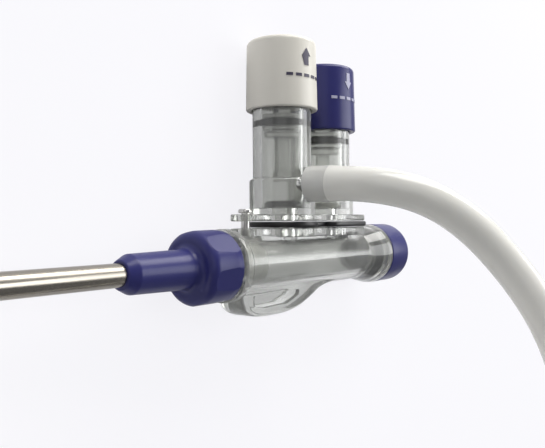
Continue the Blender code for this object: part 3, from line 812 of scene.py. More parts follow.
class GeometryTree:
    """A Geometry Nodes tree with named inputs, run once on an object and then removed."""

    def __init__(self, name: str, sizes: dict[str, float]) -> None:
        """Start the tree with one float input for each size.

        Args:
            name: the tree's name.
            sizes: the inputs' values by name.
        """
        self.tree = bpy.data.node_groups.new(name, "GeometryNodeTree")
        self.tree.interface.new_socket("Geometry", in_out="INPUT", socket_type="NodeSocketGeometry")
        self.sizes = sizes
        for size in sizes:
            self.tree.interface.new_socket(size, in_out="INPUT", socket_type="NodeSocketFloat")
        self.tree.interface.new_socket("Geometry", in_out="OUTPUT", socket_type="NodeSocketGeometry")
        self.nodes = Nodes(self.tree)
        self.source = self.nodes.add("NodeGroupInput")
        self.target = self.nodes.add("NodeGroupOutput")

    def size(self, name: str) -> bpy.types.NodeSocket:
        """The socket of one named size."""
        return self.source.outputs[name]

    def run(self, name: str, result: bpy.types.NodeSocket, finish: bpy.types.Material) -> bpy.types.Object:
        """End the tree in Realize Instances and Set Material, and make its plain mesh.

        Args:
            name: the new piece's name.
            result: the geometry to finish.
            finish: the piece's material.

        Returns:
            The piece as a plain mesh, in the handpiece frame.
        """
        real = self.nodes.add("GeometryNodeRealizeInstances", {"Geometry": result})
        dressed = self.nodes.add("GeometryNodeSetMaterial", {"Geometry": real.outputs["Geometry"]})
        dressed.inputs["Material"].default_value = finish
        self.nodes.feed(self.target.inputs["Geometry"], dressed.outputs["Geometry"])
        holder = bpy.data.objects.new(name + "_holder", bpy.data.meshes.new(name + "_holder"))
        modifier = holder.modifiers.new(name, "NODES")
        modifier.node_group = self.tree
        for item in self.tree.interface.items_tree:
            if item.in_out == "INPUT" and item.name in self.sizes:
                modifier[item.identifier] = float(self.sizes[item.name])
        bpy.context.scene.collection.objects.link(holder)
        mesh = plain_mesh(holder)
        bpy.data.objects.remove(holder, do_unlink=True)
        return bpy.data.objects.new(name, mesh)


# The cannula


@dataclass
class Cannula:
    """The steel tube with its blue hub, white ferrule and seal, all on one body."""

    bench: Bench
    tube_r: float = 0.0025
    bore_r: float = 0.0021
    tip_x: float = -0.3605
    rear_x: float = -0.0020
    side_hole_r: float = 0.0009
    side_hole_gap: float = 0.006
    side_hole_step: float = 0.005
    hub_front_x: float = -0.0305
    hub_face_x: float = -0.0112
    hub_rear_x: float = -0.0006
    hub_r: float = 0.00891
    shoulder_r: float = 0.0087
    collar_r: float = 0.0043
    collar_rear_r: float = 0.00465
    nose_r: float = 0.0031
    nose_length: float = 0.0024
    hollow_x: float = -0.0098
    hollow_r: float = 0.0064
    flat_half_angle: float = math.radians(18.5)
    flat_turn: float = math.radians(16.5)

    def build(self) -> None:
        """Build every piece of the cannula."""
        self.tube()
        self.hub()
        self.ferrule()
        self.seal()

    def tube(self) -> None:
        """The steel tube with a rounded open tip and two pairs of side holes."""
        tip_round = 0.00018
        profile = rounded([(self.tip_x, self.bore_r, tip_round), (self.tip_x, self.tube_r, tip_round),
                           (self.rear_x, self.tube_r, 0), (self.rear_x, self.bore_r, 0)])
        tube = turned("steel_tube", profile, Axis.BARREL, sides=SMALL)
        holes = []
        for i, axis in enumerate((Axis.VALVE, Axis.PORT)):
            at = (self.tip_x + self.side_hole_gap + self.side_hole_step * i, 0, 0)
            reach = 2 * self.tube_r
            bar = rod(f"side_hole_{i}", -reach, reach, self.side_hole_r, axis, at, SIDE_HOLE_SIDES)
            holes.append((bar, Joining.CUT))
        self.bench.add(combine(tube, holes), "cannula", "tube_steel", "steel", ["cannula_tube"])

    def hub(self) -> None:
        """The blue hub: cone-nosed collar, flat front face with a round rim, and a body with six flats."""
        outline = rounded([(self.hub_front_x, self.tube_r, 0.0), (self.hub_front_x, self.nose_r, 0.0005),
                           (self.hub_front_x + self.nose_length, self.collar_r, 0.0012),
                           (self.hub_face_x, self.collar_rear_r, 0.0016),
                           (self.hub_face_x, self.shoulder_r, 0.0024), (-0.0031, self.hub_r, 0.006),
                           (-0.0012, 0.00875, 0.0006), (self.hub_rear_x, 0.0081, 0.0002),
                           (self.hub_rear_x, self.hollow_r, 0.0)], closed=False, steps=8)
        inside = [(self.hollow_x, self.hollow_r), (self.hollow_x, self.tube_r)]
        body = turned("blue_hub", outline + inside, Axis.BARREL)
        apothem = self.hub_r * math.cos(self.flat_half_angle)
        corner_r = apothem / math.cos(math.pi / 6)
        prism = rod("hub_flats", self.hub_front_x - 2 * PAST, 2 * PAST, corner_r, Axis.BARREL, sides=6)
        prism.data.transform(Matrix.Rotation(self.flat_turn + math.pi / 6, 4, "X"))
        hub = combine(body, [(prism, Joining.KEEP_COMMON)])
        self.bench.add(hub, "cannula", "blue", "blue", ["cannula_hub"], sharp=14)

    def ferrule(self) -> None:
        """The white ferrule with its grooved sleeve and hexagonal end."""
        front_x, flange_x, rear_x = -0.0095, -0.0083, 0.0120
        flange_r, sleeve_r, groove_r = 0.0059, 0.0046, 0.0032
        groove = (0.0011, 0.0029)
        corners = [(front_x, self.tube_r, 0), (front_x, flange_r, 0.0004), (flange_x, flange_r, 0.0002),
                   (flange_x, sleeve_r, 0), (groove[0], sleeve_r, 0.0002), (groove[0], groove_r, 0),
                   (groove[1], groove_r, 0), (groove[1], sleeve_r, 0.0002), (rear_x, sleeve_r, 0.0006),
                   (rear_x, self.tube_r, 0)]
        body = turned("white_ferrule", rounded(corners), Axis.BARREL)
        near, far, deep, out, half_wide = 0.0045, 0.0140, 0.0042, 0.0062, 0.004
        outline = [(near, deep), (far, deep), (far, out), (near, out)]
        flats = []
        for i in range(6):
            turn = Matrix.Rotation(math.pi / 6 + i * math.pi / 3, 4, "X")
            flat = slab(f"ferrule_flat_{i}", outline, -half_wide, half_wide, 0.0001, turn)
            flats.append((flat, Joining.CUT))
        self.bench.add(combine(body, flats), "cannula", "ferrule_white", "white", ["cannula_ferrule"])

    def seal(self) -> None:
        """The rubber ring, squeezed against the barrel's bore."""
        middle_x, middle_r, wire_r, steps = 0.0020, 0.00425, 0.0008, 20
        turns = [2 * math.pi * i / steps for i in range(steps)]
        circle = [(middle_x + wire_r * math.cos(t), middle_r + wire_r * math.sin(t)) for t in turns]
        ring = turned("ferrule_seal", circle, Axis.BARREL)
        self.bench.add(ring, "cannula", "silicone", "rubber", ["ferrule_ring"])


@dataclass
class Plates:
    """The outline shared by the platform, the gasket and the valve block's plate."""

    suction_x: float = 0.0257
    irrigation_x: float = 0.0461
    disc_r: float = 0.0094
    block_x: float = 0.0374
    rear_x: float = 0.0564
    half_width: float = 0.0094
    corner_r: float = 0.0026
    waist: float = 0.0066
    lug_x: float = 0.0098
    lug_r: float = 0.0038
    passage_r: float = 0.0029
    pin_hole_r: float = 0.0014

    def outline(self, grow: float = 0.0, lug: bool = False) -> list[Point2]:
        """The plates' outline seen from the caps, counter-clockwise in (x, -z).

        Args:
            grow: how much wider it is all round.
            lug: whether it has the ear in front of the disc.

        Returns:
            The outline's points.
        """
        disc_r = self.disc_r + grow
        centre = (self.suction_x, 0.0)
        join = math.asin(self.waist / disc_r)
        half = self.half_width + grow
        front, rear = self.block_x - grow, self.rear_x + grow
        if lug:
            ear = math.asin(self.lug_r / disc_r)
            points = arc(centre, disc_r, join, math.pi - ear, 30)
            points += arc((self.lug_x, 0.0), self.lug_r, math.pi / 2, 3 * math.pi / 2, 24)
            points += arc(centre, disc_r, math.pi + ear, 2 * math.pi - join, 30)
        else:
            points = arc(centre, disc_r, join, 2 * math.pi - join, 72)
        corner = self.corner_r
        block = [(front, -self.waist, 0.0008), (front, -half, corner), (rear, -half, corner),
                 (rear, half, corner), (front, half, corner), (front, self.waist, 0.0008)]
        return points + rounded(block, closed=False)

    def passages(self, name: str, low: float, high: float) -> list[tuple[bpy.types.Object, Joining]]:
        """The cutters of the holes under both valves.

        Args:
            name: the start of their names.
            low: their lower end.
            high: their upper end.

        Returns:
            The cutters, ready for combine.
        """
        holes = []
        for i, x in enumerate((self.suction_x, self.irrigation_x)):
            hole = rod(f"{name}_{i}", low, high, self.passage_r, Axis.VALVE, (x, 0, 0), PASSAGE_SIDES)
            holes.append((hole, Joining.CUT))
        return holes

    def pin_hole(self, name: str, low: float, high: float) -> tuple[bpy.types.Object, Joining]:
        """The cutter of the pin's hole in the lug.

        Args:
            name: its name.
            low: its lower end.
            high: its upper end.

        Returns:
            The cutter, ready for combine.
        """
        at = (self.lug_x, 0, 0)
        return rod(name, low, high, self.pin_hole_r, Axis.VALVE, at, PIN_HOLE_SIDES), Joining.CUT


def plate_turn() -> Matrix:
    """The turn from a flat outline in (x, -z) to the plates' plane, with its height along +Y."""
    return Matrix.Rotation(-math.pi / 2, 4, "X")


@dataclass
class Barrel:
    """The clear barrel with its flange, bell, platform and finger keel."""

    bench: Bench
    plates: Plates
    neck_x: float = -0.0080
    neck_r: float = 0.0060
    flange_r: float = 0.0090
    flange_x: float = 0.00266
    barrel_r: float = 0.0075
    bore_r: float = 0.0050
    bell_x: float = 0.0620
    bell_rear_x: float = 0.07305
    bell_swell_x: float = 0.0712
    bell_r: float = 0.00962
    socket_r: float = 0.0060
    platform: tuple[float, float] = (0.0066, 0.0090)
    web: tuple[float, float] = (0.0095, 0.0535)
    web_half: float = 0.0048
    web_corner: float = 0.0015
    gasket_layer: tuple[float, float] = (0.00915, 0.01065)
    keel_thick: float = 0.0084
    pocket_depth: float = 0.0012

    def build(self) -> None:
        """Build the barrel, its gasket and the pin in its lug."""
        self.body()
        self.gasket()
        self.pin()

    def keel_outline(self) -> list[Point2]:
        """The keel seen from the side: down behind the flange, a long belly, and a sweep back up.

        Returns:
            The outline's points.
        """
        rear_x = 0.0500
        belly = [(0.0034, -0.0030), (0.0034, -0.0060), (0.0036, -0.0088), (0.0048, -0.0112),
                 (0.0078, -0.0127), (0.0120, -0.01335), (0.0175, -0.0135), (0.0235, -0.0133),
                 (0.0285, -0.0124), (0.0325, -0.0110), (0.0360, -0.0095), (0.0388, -0.0083),
                 (0.0425, -0.0075), (0.0470, -0.0070), (rear_x, -0.0068)]
        return smooth_line(belly, 4) + [(rear_x, belly[0][1])]

    def pocket_outline(self) -> list[Point2]:
        """The shallow pocket in each side of the keel."""
        corners = [(0.0078, -0.0078, 0.0007), (0.0080, -0.0104, 0.0009), (0.0125, -0.0112, 0.0020),
                   (0.0215, -0.0110, 0.0020), (0.0270, -0.0092, 0.0005), (0.0276, -0.0076, 0.0005)]
        return rounded(corners)

    def body(self) -> None:
        """The barrel as one clear moulding, bored through, with its ports and keel."""
        rim = 0.0005
        socket_x = self.bell_x + 0.0002
        corners = [(self.neck_x, self.bore_r, 0), (self.neck_x, self.neck_r, 0.0003),
                   (0, self.neck_r, 0.0002), (0, self.flange_r, rim), (self.flange_x, self.flange_r, rim),
                   (self.flange_x, self.barrel_r, 0.0006), (self.bell_x, self.barrel_r, 0.006),
                   (self.bell_swell_x, self.bell_r - 0.0002, 0.004), (self.bell_rear_x, self.bell_r, 0.0003),
                   (self.bell_rear_x, self.socket_r, 0.0003), (socket_x, self.socket_r, 0.0002),
                   (socket_x, self.bore_r, 0.0002)]
        body = turned("clear_barrel", rounded(corners), Axis.BARREL)
        tools = [*self.platform_pieces(), *self.keel_pieces()]
        bore_r = self.bore_r + 0.00002
        bore = rod("bore", self.flange_x, self.bell_x - 0.0008, bore_r, Axis.BARREL, sides=FINE - 2)
        tools.append((bore, Joining.CUT))
        high = self.platform[1]
        well_low, pin_low = 0.001, 0.0069
        tools += self.plates.passages("well", well_low, high + PAST)
        tools.append(self.plates.pin_hole("pin_hole", pin_low, high + PAST))
        self.bench.add(combine(body, tools), HANDPIECE, "clear", "clear", ["barrel"], sharp=24)

    def platform_pieces(self) -> list[tuple[bpy.types.Object, Joining]]:
        """The platform under the gasket, and the web that joins it to the barrel.

        Returns:
            The solids to join, ready for combine.
        """
        low, high = self.platform
        sunk = 0.0006
        platform = slab("platform", self.plates.outline(lug=True), low, high, 0.0004, plate_turn())
        front, rear = self.web
        half, corner = self.web_half, self.web_corner
        outline = rounded([(front, -half, corner), (rear, -half, corner), (rear, half, corner),
                           (front, half, corner)])
        web = slab("platform_web", outline, 0.0, low + sunk, 0.0001, plate_turn())
        return [(platform, Joining.JOIN), (web, Joining.JOIN)]

    def keel_pieces(self) -> list[tuple[bpy.types.Object, Joining]]:
        """The finger keel and the cutters of its two pockets.

        Returns:
            The keel to join and the pockets to cut, ready for combine.
        """
        half = self.keel_thick / 2
        flat = Matrix.Identity(4)
        pieces = [(slab("keel", self.keel_outline(), -half, half, 0.0016, flat), Joining.JOIN)]
        for side in (-1, 1):
            deep, past = sorted((side * (half - self.pocket_depth), side * (half + PAST)))
            pocket = slab(f"keel_pocket_{side}", self.pocket_outline(), deep, past, 0.0003, flat)
            pieces.append((pocket, Joining.CUT))
        return pieces

    def gasket(self) -> None:
        """The black gasket, squeezed a little proud of the plates."""
        proud = 0.0003
        low, high = self.gasket_layer
        sheet = slab("black_gasket", self.plates.outline(grow=proud), low, high, 0.0005, plate_turn())
        holes = self.plates.passages("gasket_hole", 0.008, 0.012)
        self.bench.add(combine(sheet, holes), HANDPIECE, "rubber", "rubber", ["base_gasket"])

    def pin(self) -> None:
        """The steel pin in the front lug."""
        low, shoulder, top = 0.0072, 0.0129, 0.0139
        pin_r, head_r = 0.0011, 0.0018
        corners = [(low, 0, 0), (low, pin_r, 0.0002), (shoulder, pin_r, 0), (shoulder, head_r, 0.0002),
                   (top, head_r, 0.0004), (top, 0, 0)]
        pin = turned("lug_pin_steel", rounded(corners), Axis.VALVE, (self.plates.lug_x, 0, 0), 48)
        self.bench.add(pin, HANDPIECE, "bright_steel", "pin_steel", ["lug_pin"])


def smooth_line(points: Sequence[Point2], per_span: int) -> list[Point2]:
    """The flat form of smooth_route, for a line of points in one plane."""
    return [(p.x, p.y) for p in smooth_route([Vector((x, y, 0)) for x, y in points], per_span)]


def smooth_route(points: Sequence[Vector], per_span: int) -> list[Vector]:
    """Points on a Catmull-Rom curve through a route, with even steps in each span.

    Args:
        points: the route's points.
        per_span: steps between two of them.

    Returns:
        The curve's points.
    """
    ends = [2 * points[0] - points[1], *points, 2 * points[-1] - points[-2]]
    route = []
    for a, b, c, d in zip(ends, ends[1:], ends[2:], ends[3:]):
        for i in range(per_span):
            t = i / per_span
            bend = 2 * a - 5 * b + 4 * c - d
            swing = 3 * b - 3 * c + d - a
            route.append((2 * b + (c - a) * t + bend * t ** 2 + swing * t ** 3) / 2)
    return [*route, points[-1]]


def relaxed(points: Sequence[Vector], step: float, rounds: int) -> list[Vector]:
    """Space a route evenly and ease its bends, with its ends left as they are.

    Args:
        points: the route.
        step: the spacing.
        rounds: how often each point moves to the mean of its neighbours.

    Returns:
        The eased route.
    """
    lengths = [0.0]
    for a, b in zip(points, points[1:]):
        lengths.append(lengths[-1] + (b - a).length)
    count = int(lengths[-1] / step)
    route: list[Vector] = []
    span = 0
    for i in range(count + 1):
        reach = lengths[-1] * i / count
        while span < len(lengths) - 2 and lengths[span + 1] < reach:
            span += 1
        share = (reach - lengths[span]) / (lengths[span + 1] - lengths[span])
        route.append(points[span].lerp(points[span + 1], share))
    for _ in range(rounds):
        eased = [(route[i - 1] + 2 * route[i] + route[i + 1]) / 4 for i in range(2, len(route) - 2)]
        route = route[:2] + eased + route[-2:]
    return route


def smooth_share(share: float) -> float:
    """A share kept between 0 and 1, with a soft start and end."""
    kept = min(max(share, 0.0), 1.0)
    return kept * kept * (3 - 2 * kept)


@dataclass
class ValveBlock:
    """The clear upper block: plate, two cylinders and two barbed ports."""

    bench: Bench
    plates: Plates
    plate: tuple[float, float] = (0.0108, 0.0126)
    foot_r: float = 0.0090
    foot_top_y: float = 0.0222
    cylinder_r: float = 0.0080
    bore_r: float = 0.0055
    floor_y: float = 0.0142
    tops: tuple[float, float] = (0.0449, 0.0412)
    port_y: float = 0.0205
    port_tip_z: float = 0.0152
    irrigation_port_y: float = 0.0205
    irrigation_tip_z: float = 0.0200
    port_r: float = 0.0032
    irrigation_port_r: float = 0.0028
    port_bore_r: float = 0.0018
    port_root_z: float = 0.0030

    def cylinder(self, name: str, x: float, top_y: float) -> bpy.types.Object:
        """One cylinder with its wider foot and rounded shoulder.

        Args:
            name: the solid's name.
            x: its axis's place along the barrel.
            top_y: its top.

        Returns:
            The cylinder.
        """
        root_y = self.plate[1] - 0.0006
        corners = [(root_y, 0, 0), (root_y, self.foot_r, 0), (self.foot_top_y, self.foot_r, 0.0008),
                   (self.foot_top_y, self.cylinder_r, 0.0002), (top_y, self.cylinder_r, 0.0003),
                   (top_y, self.bore_r, 0.0004), (self.floor_y, self.bore_r, 0.0003), (self.floor_y, 0, 0)]
        return turned(name, rounded(corners), Axis.VALVE, (x, 0, 0))

    def barb(self, name: str, x: float, y: float, tip_z: float, radius: float) -> bpy.types.Object:
        """A barbed spigot along +Z whose root lies in the cylinder's wall.

        Args:
            name: the solid's name.
            x: its axis's place along the barrel.
            y: its axis's height along the valve.
            tip_z: its tip.
            radius: its radius between the barbs.

        Returns:
            The spigot.
        """
        root_z = self.bore_r + 0.0012
        pitch, rise, tip_land = 0.0030, 0.0004, 0.0006
        corners = [(root_z, 0, 0), (root_z, radius, 0)]
        count = int((tip_z - self.foot_r - 0.0008) / pitch)
        for i in range(count):
            start = tip_z - tip_land - pitch * (count - i)
            corners += [(start + 0.3 * pitch, radius, 0.0), (start + 0.34 * pitch, radius + rise, 0.0001),
                        (start + pitch, radius - 0.0002, 0.0)]
        corners += [(tip_z, radius - 0.0005, 0.0001), (tip_z, 0, 0)]
        return turned(name, rounded(corners, steps=3), Axis.PORT, (x, y, 0), SMALL)

    def build(self) -> None:
        """Build the block as one clear moulding."""
        low, high = self.plate
        block = slab("clear_valve_block", self.plates.outline(lug=True), low, high, 0.0004, plate_turn())
        xs = (self.plates.suction_x, self.plates.irrigation_x)
        tools = [(self.cylinder(f"cylinder_{i}", x, top), Joining.JOIN)
                 for i, (x, top) in enumerate(zip(xs, self.tops))]
        ports = ((xs[0], self.port_y, self.port_tip_z, self.port_r),
                 (xs[1], self.irrigation_port_y, self.irrigation_tip_z, self.irrigation_port_r))
        tools += [(self.barb(f"port_{i}", *port), Joining.JOIN) for i, port in enumerate(ports)]
        tools += self.plates.passages("passage", low - PAST, self.floor_y + 0.0005)
        for i, (x, y, tip_z, _) in enumerate(ports):
            bore = rod(f"port_bore_{i}", self.port_root_z, tip_z + PAST, self.port_bore_r, Axis.PORT,
                       (x, y, 0), PORT_BORE_SIDES)
            tools.append((bore, Joining.CUT))
        tools.append(self.plates.pin_hole("block_pin_hole", low - PAST, high + PAST))
        self.bench.add(combine(block, tools), HANDPIECE, "clear", "clear", ["valve_block"], sharp=24)


class Arrow(Enum):
    """Which way the arrow on a cap points along the valve."""

    UP = 1.0
    DOWN = -1.0


@dataclass
class Valve:
    """One trumpet valve: cap with its print, piston, seals, seat and spring."""

    bench: Bench
    name: str
    x: float
    rim_y: float
    ring_y: float
    cap_finish: str
    cap_slot: str
    ink: str
    arrow: Arrow
    seat_finish: str
    print_turn: float
    print_height: float
    cap_r: float = 0.00975
    cap_top_r: float = 0.0094
    cap_bore_r: float = 0.0083
    cap_height: float = 0.0187
    roof: float = 0.0016
    stem_r: float = 0.0024
    bore_r: float = 0.0055
    travel: float = 0.0040
    boss_wall: float = 0.0014
    boss_depth: float = 0.0034
    groove_r: float = 0.0031
    coil_r: float = 0.0064
    wire_r: float = 0.0005
    spring_turns: float = 4.5
    spring_low: float = 0.0050
    spring_gap: float = 0.0008

    @property
    def body(self) -> str:
        """The body that the moving pieces ride on."""
        return self.name + "_valve"

    def build(self) -> None:
        """Build every piece of the valve."""
        self.cap()
        self.print_arrow()
        self.piston()
        self.ring()
        self.seat()
        self.spring()

    def cap(self) -> None:
        """The push cap: a cup with a rounded top and a boss for the stem."""
        top_y = self.rim_y + self.cap_height
        roof_y = top_y - self.roof
        boss_r, boss_y = self.stem_r + self.boss_wall, roof_y - self.boss_depth
        corners = [(self.rim_y, self.cap_bore_r, 0.0002), (self.rim_y, self.cap_r, 0.0005),
                   (top_y, self.cap_top_r, 0.0013), (top_y, 0, 0), (roof_y, 0, 0), (roof_y, self.stem_r, 0),
                   (boss_y, self.stem_r, 0), (boss_y, boss_r, 0.0003), (roof_y, boss_r, 0.0003),
                   (roof_y, self.cap_bore_r, 0.0003)]
        cap = turned(self.name + "_push_cap", rounded(corners, steps=7), Axis.VALVE, (self.x, 0, 0))
        self.bench.add(cap, self.body, self.cap_finish, self.cap_slot, [self.name + "_cap"], sharp=50)

    def cap_surface_r(self, y: float) -> float:
        """The cap's outer radius at a height."""
        share = (y - self.rim_y) / self.cap_height
        return self.cap_r + (self.cap_top_r - self.cap_r) * share

    def print_shapes(self) -> list[list[Point2]]:
        """The print laid flat: an arrow with five plain dashes under it.

        Returns:
            The outline of each shape, as (round the cap, height).
        """
        middle_y = self.rim_y + self.print_height
        shaft, head, length, head_length = 0.00075, 0.00150, 0.0046, 0.0021
        tip, neck = length / 2, length / 2 - head_length
        arrow = [(-shaft, -tip), (shaft, -tip), (shaft, neck), (head, neck), (0.0, tip), (-head, neck),
                 (-shaft, neck)]
        shapes = [[(u, middle_y + self.arrow.value * v) for u, v in arrow]]
        half_long, half_thick, pitch, dashes = 0.0009, 0.0004, 0.0026, 5
        dash_y = middle_y - 0.0050
        for i in range(dashes):
            u = (i - dashes // 2) * pitch
            shapes.append([(u - half_long, dash_y - half_thick), (u + half_long, dash_y - half_thick),
                           (u + half_long, dash_y + half_thick), (u - half_long, dash_y + half_thick)])
        return shapes

    def print_arrow(self) -> None:
        """The printed arrow and dashes, wrapped on the cap as a thin layer of ink."""
        name = self.name + "_cap_print"
        facing = math.radians(self.print_turn)
        lift = 0.00006
        work = bmesh.new()
        for shape in self.print_shapes():
            work.faces.new([work.verts.new((u, y, 0)) for u, y in shape])
        bmesh.ops.triangulate(work, faces=work.faces)
        for _ in range(2):
            bmesh.ops.subdivide_edges(work, edges=work.edges[:], cuts=1, use_grid_fill=True)
        for vert in work.verts:
            u, y = vert.co.x, vert.co.y
            radius = self.cap_surface_r(y) + lift
            turn = facing - u / radius
            vert.co = (self.x + radius * math.cos(turn), y, radius * math.sin(turn))
        work.normal_update()

        def from_axis(face: bmesh.types.BMFace) -> Vector:
            """The way from the cap's axis to a face's middle."""
            middle = face.calc_center_median()
            return middle - Vector((self.x, middle.y, 0))

        inward = [face for face in work.faces if face.normal.dot(from_axis(face)) < 0]
        bmesh.ops.reverse_faces(work, faces=inward)
        mesh = bpy.data.meshes.new(name)
        work.to_mesh(mesh)
        work.free()
        flat = bpy.data.objects.new(name, mesh)
        bpy.context.scene.collection.objects.link(flat)
        thick = flat.modifiers.new("ink", "SOLIDIFY")
        thick.thickness = lift
        thick.offset = 1.0
        printed = bpy.data.objects.new(name, plain_mesh(flat))
        bpy.data.objects.remove(flat, do_unlink=True)
        printed.name = name
        self.bench.add(printed, self.body, self.ink, self.cap_slot)

    def piston(self) -> None:
        """The clear piston: stem, grooved head, skirt, foot and plug."""
        top = self.rim_y + self.cap_height - self.roof
        groove, head_r, skirt_r, foot_r, plug_r = 0.0012, 0.0053, 0.0048, 0.0020, 0.0026
        plug = 0.0210
        over, under = self.ring_y + groove, self.ring_y - groove
        low = under - 0.0030
        corners = [(top, 0, 0), (top, self.stem_r, 0), (over + 0.0010, self.stem_r, 0.0003),
                   (over + 0.0010, head_r, 0.0002), (over, head_r, 0.0001), (over, self.groove_r, 0),
                   (under, self.groove_r, 0), (under, head_r, 0.0001), (under - 0.0008, head_r, 0.0002),
                   (under - 0.0012, skirt_r, 0.0002), (low, skirt_r, 0.0005), (low, foot_r, 0.0006),
                   (plug + 0.0034, foot_r, 0.0004), (plug + 0.0024, plug_r, 0.0003),
                   (plug, plug_r, 0.0006), (plug, 0, 0)]
        piston = turned(self.name + "_clear_piston", rounded(corners), Axis.VALVE, (self.x, 0, 0), SMALL * 2)
        self.bench.add(piston, self.body, "clear_inner", "clear", [self.name + "_piston"])

    def ring(self) -> None:
        """The rubber ring, squeezed flat against the cylinder's bore."""
        squeeze, half, inner_r = 0.00006, 0.0011, 0.0033
        outer_r = self.bore_r + squeeze
        low, high = self.ring_y - half, self.ring_y + half
        corners = [(low, inner_r, 0.0004), (low, outer_r, 0.0005), (high, outer_r, 0.0005),
                   (high, inner_r, 0.0004)]
        ring = turned(self.name + "_seal", rounded(corners), Axis.VALVE, (self.x, 0, 0))
        self.bench.add(ring, self.body, "rubber", "rubber", [self.name + "_piston_ring"])

    def seat(self) -> None:
        """The rubber seat at the cylinder's floor."""
        low, shoulder, top = 0.0145, 0.0154, 0.0160
        corners = [(low, 0.0030, 0.0002), (low, 0.0050, 0.0002), (shoulder, 0.0050, 0.0003),
                   (top, 0.0041, 0.0003), (top, 0.0033, 0.0003)]
        seat = turned(self.name + "_valve_seat", rounded(corners), Axis.VALVE, (self.x, 0, 0), SMALL)
        self.bench.add(seat, HANDPIECE, self.seat_finish, "rubber", [self.name + "_seat"])

    def spring(self) -> None:
        """The return spring as a spiral swept by a round wire."""
        low = self.rim_y + self.spring_low
        high = self.rim_y + self.cap_height - self.roof - self.spring_gap
        sizes = {"Turns": self.spring_turns, "Coil Radius": self.coil_r, "Height": high - low,
                 "Wire Radius": self.wire_r}
        tree = GeometryTree(self.name + "_spring_rule", sizes)
        nodes = tree.nodes
        spiral = nodes.add("GeometryNodeCurveSpiral", {"Resolution": 48, "Rotations": tree.size("Turns"),
                                                       "Start Radius": tree.size("Coil Radius"),
                                                       "End Radius": tree.size("Coil Radius"),
                                                       "Height": tree.size("Height")})
        wire = nodes.add("GeometryNodeCurvePrimitiveCircle", {"Resolution": 14,
                                                              "Radius": tree.size("Wire Radius")})
        swept = nodes.add("GeometryNodeCurveToMesh", {"Curve": spiral.outputs["Curve"], "Fill Caps": True,
                                                      "Profile Curve": wire.outputs["Curve"]})
        steel = self.bench.finishes["bright_steel"]
        spring = tree.run(self.name + "_return_spring", swept.outputs["Mesh"], steel)
        spring.data.transform(Matrix.Translation((self.x, low, 0)) @ Axis.VALVE.matrix())
        self.bench.add(spring, HANDPIECE, "bright_steel", "pin_steel", [self.name + "_spring"])
        anchor = tuple(self.bench.row((self.x, low, 0)))
        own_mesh(spring)


@dataclass
class RearCap:
    """The blue rear cap with its plug and seal."""

    bench: Bench
    front_x: float = 0.07335
    end_x: float = 0.0860
    knob_r: float = 0.0096
    plug_x: float = 0.0646
    plug_r: float = 0.0057
    groove_r: float = 0.0038
    seal_r: float = 0.00606
    seal_x: tuple[float, float] = (0.0655, 0.0710)

    def build(self) -> None:
        """Build the cap and its ring."""
        groove = (0.0654, 0.0711)
        knob = [(self.front_x, 0, 0), (self.front_x, self.knob_r, 0.0004),
                (self.end_x, self.knob_r, 0.0025), (self.end_x, 0, 0)]
        cap = turned("blue_rear_cap", rounded(knob, steps=8), Axis.BARREL)
        self.bench.add(cap, "rear_knob", "blue", "blue", ["rear_cap"], sharp=50)
        rear_x = self.front_x - 0.00002
        corners = [(self.plug_x, 0, 0), (self.plug_x, self.plug_r, 0.0005), (groove[0], self.plug_r, 0.0001),
                   (groove[0], self.groove_r, 0), (groove[1], self.groove_r, 0),
                   (groove[1], self.plug_r, 0.0001), (rear_x, self.plug_r, 0), (rear_x, 0, 0)]
        plug = turned("rear_cap_plug", rounded(corners), Axis.BARREL)
        self.bench.add(plug, "rear_knob", "clear_inner", "clear")
        near, far = self.seal_x
        inner_r = self.groove_r + 0.0002
        corners = [(near, inner_r, 0.0003), (near, self.seal_r, 0.0005), (far, self.seal_r, 0.0005),
                   (far, inner_r, 0.0003)]
        ring = turned("rear_cap_seal", rounded(corners), Axis.BARREL)
        self.bench.add(ring, "rear_knob", "rubber", "rubber", ["rear_cap_ring"])



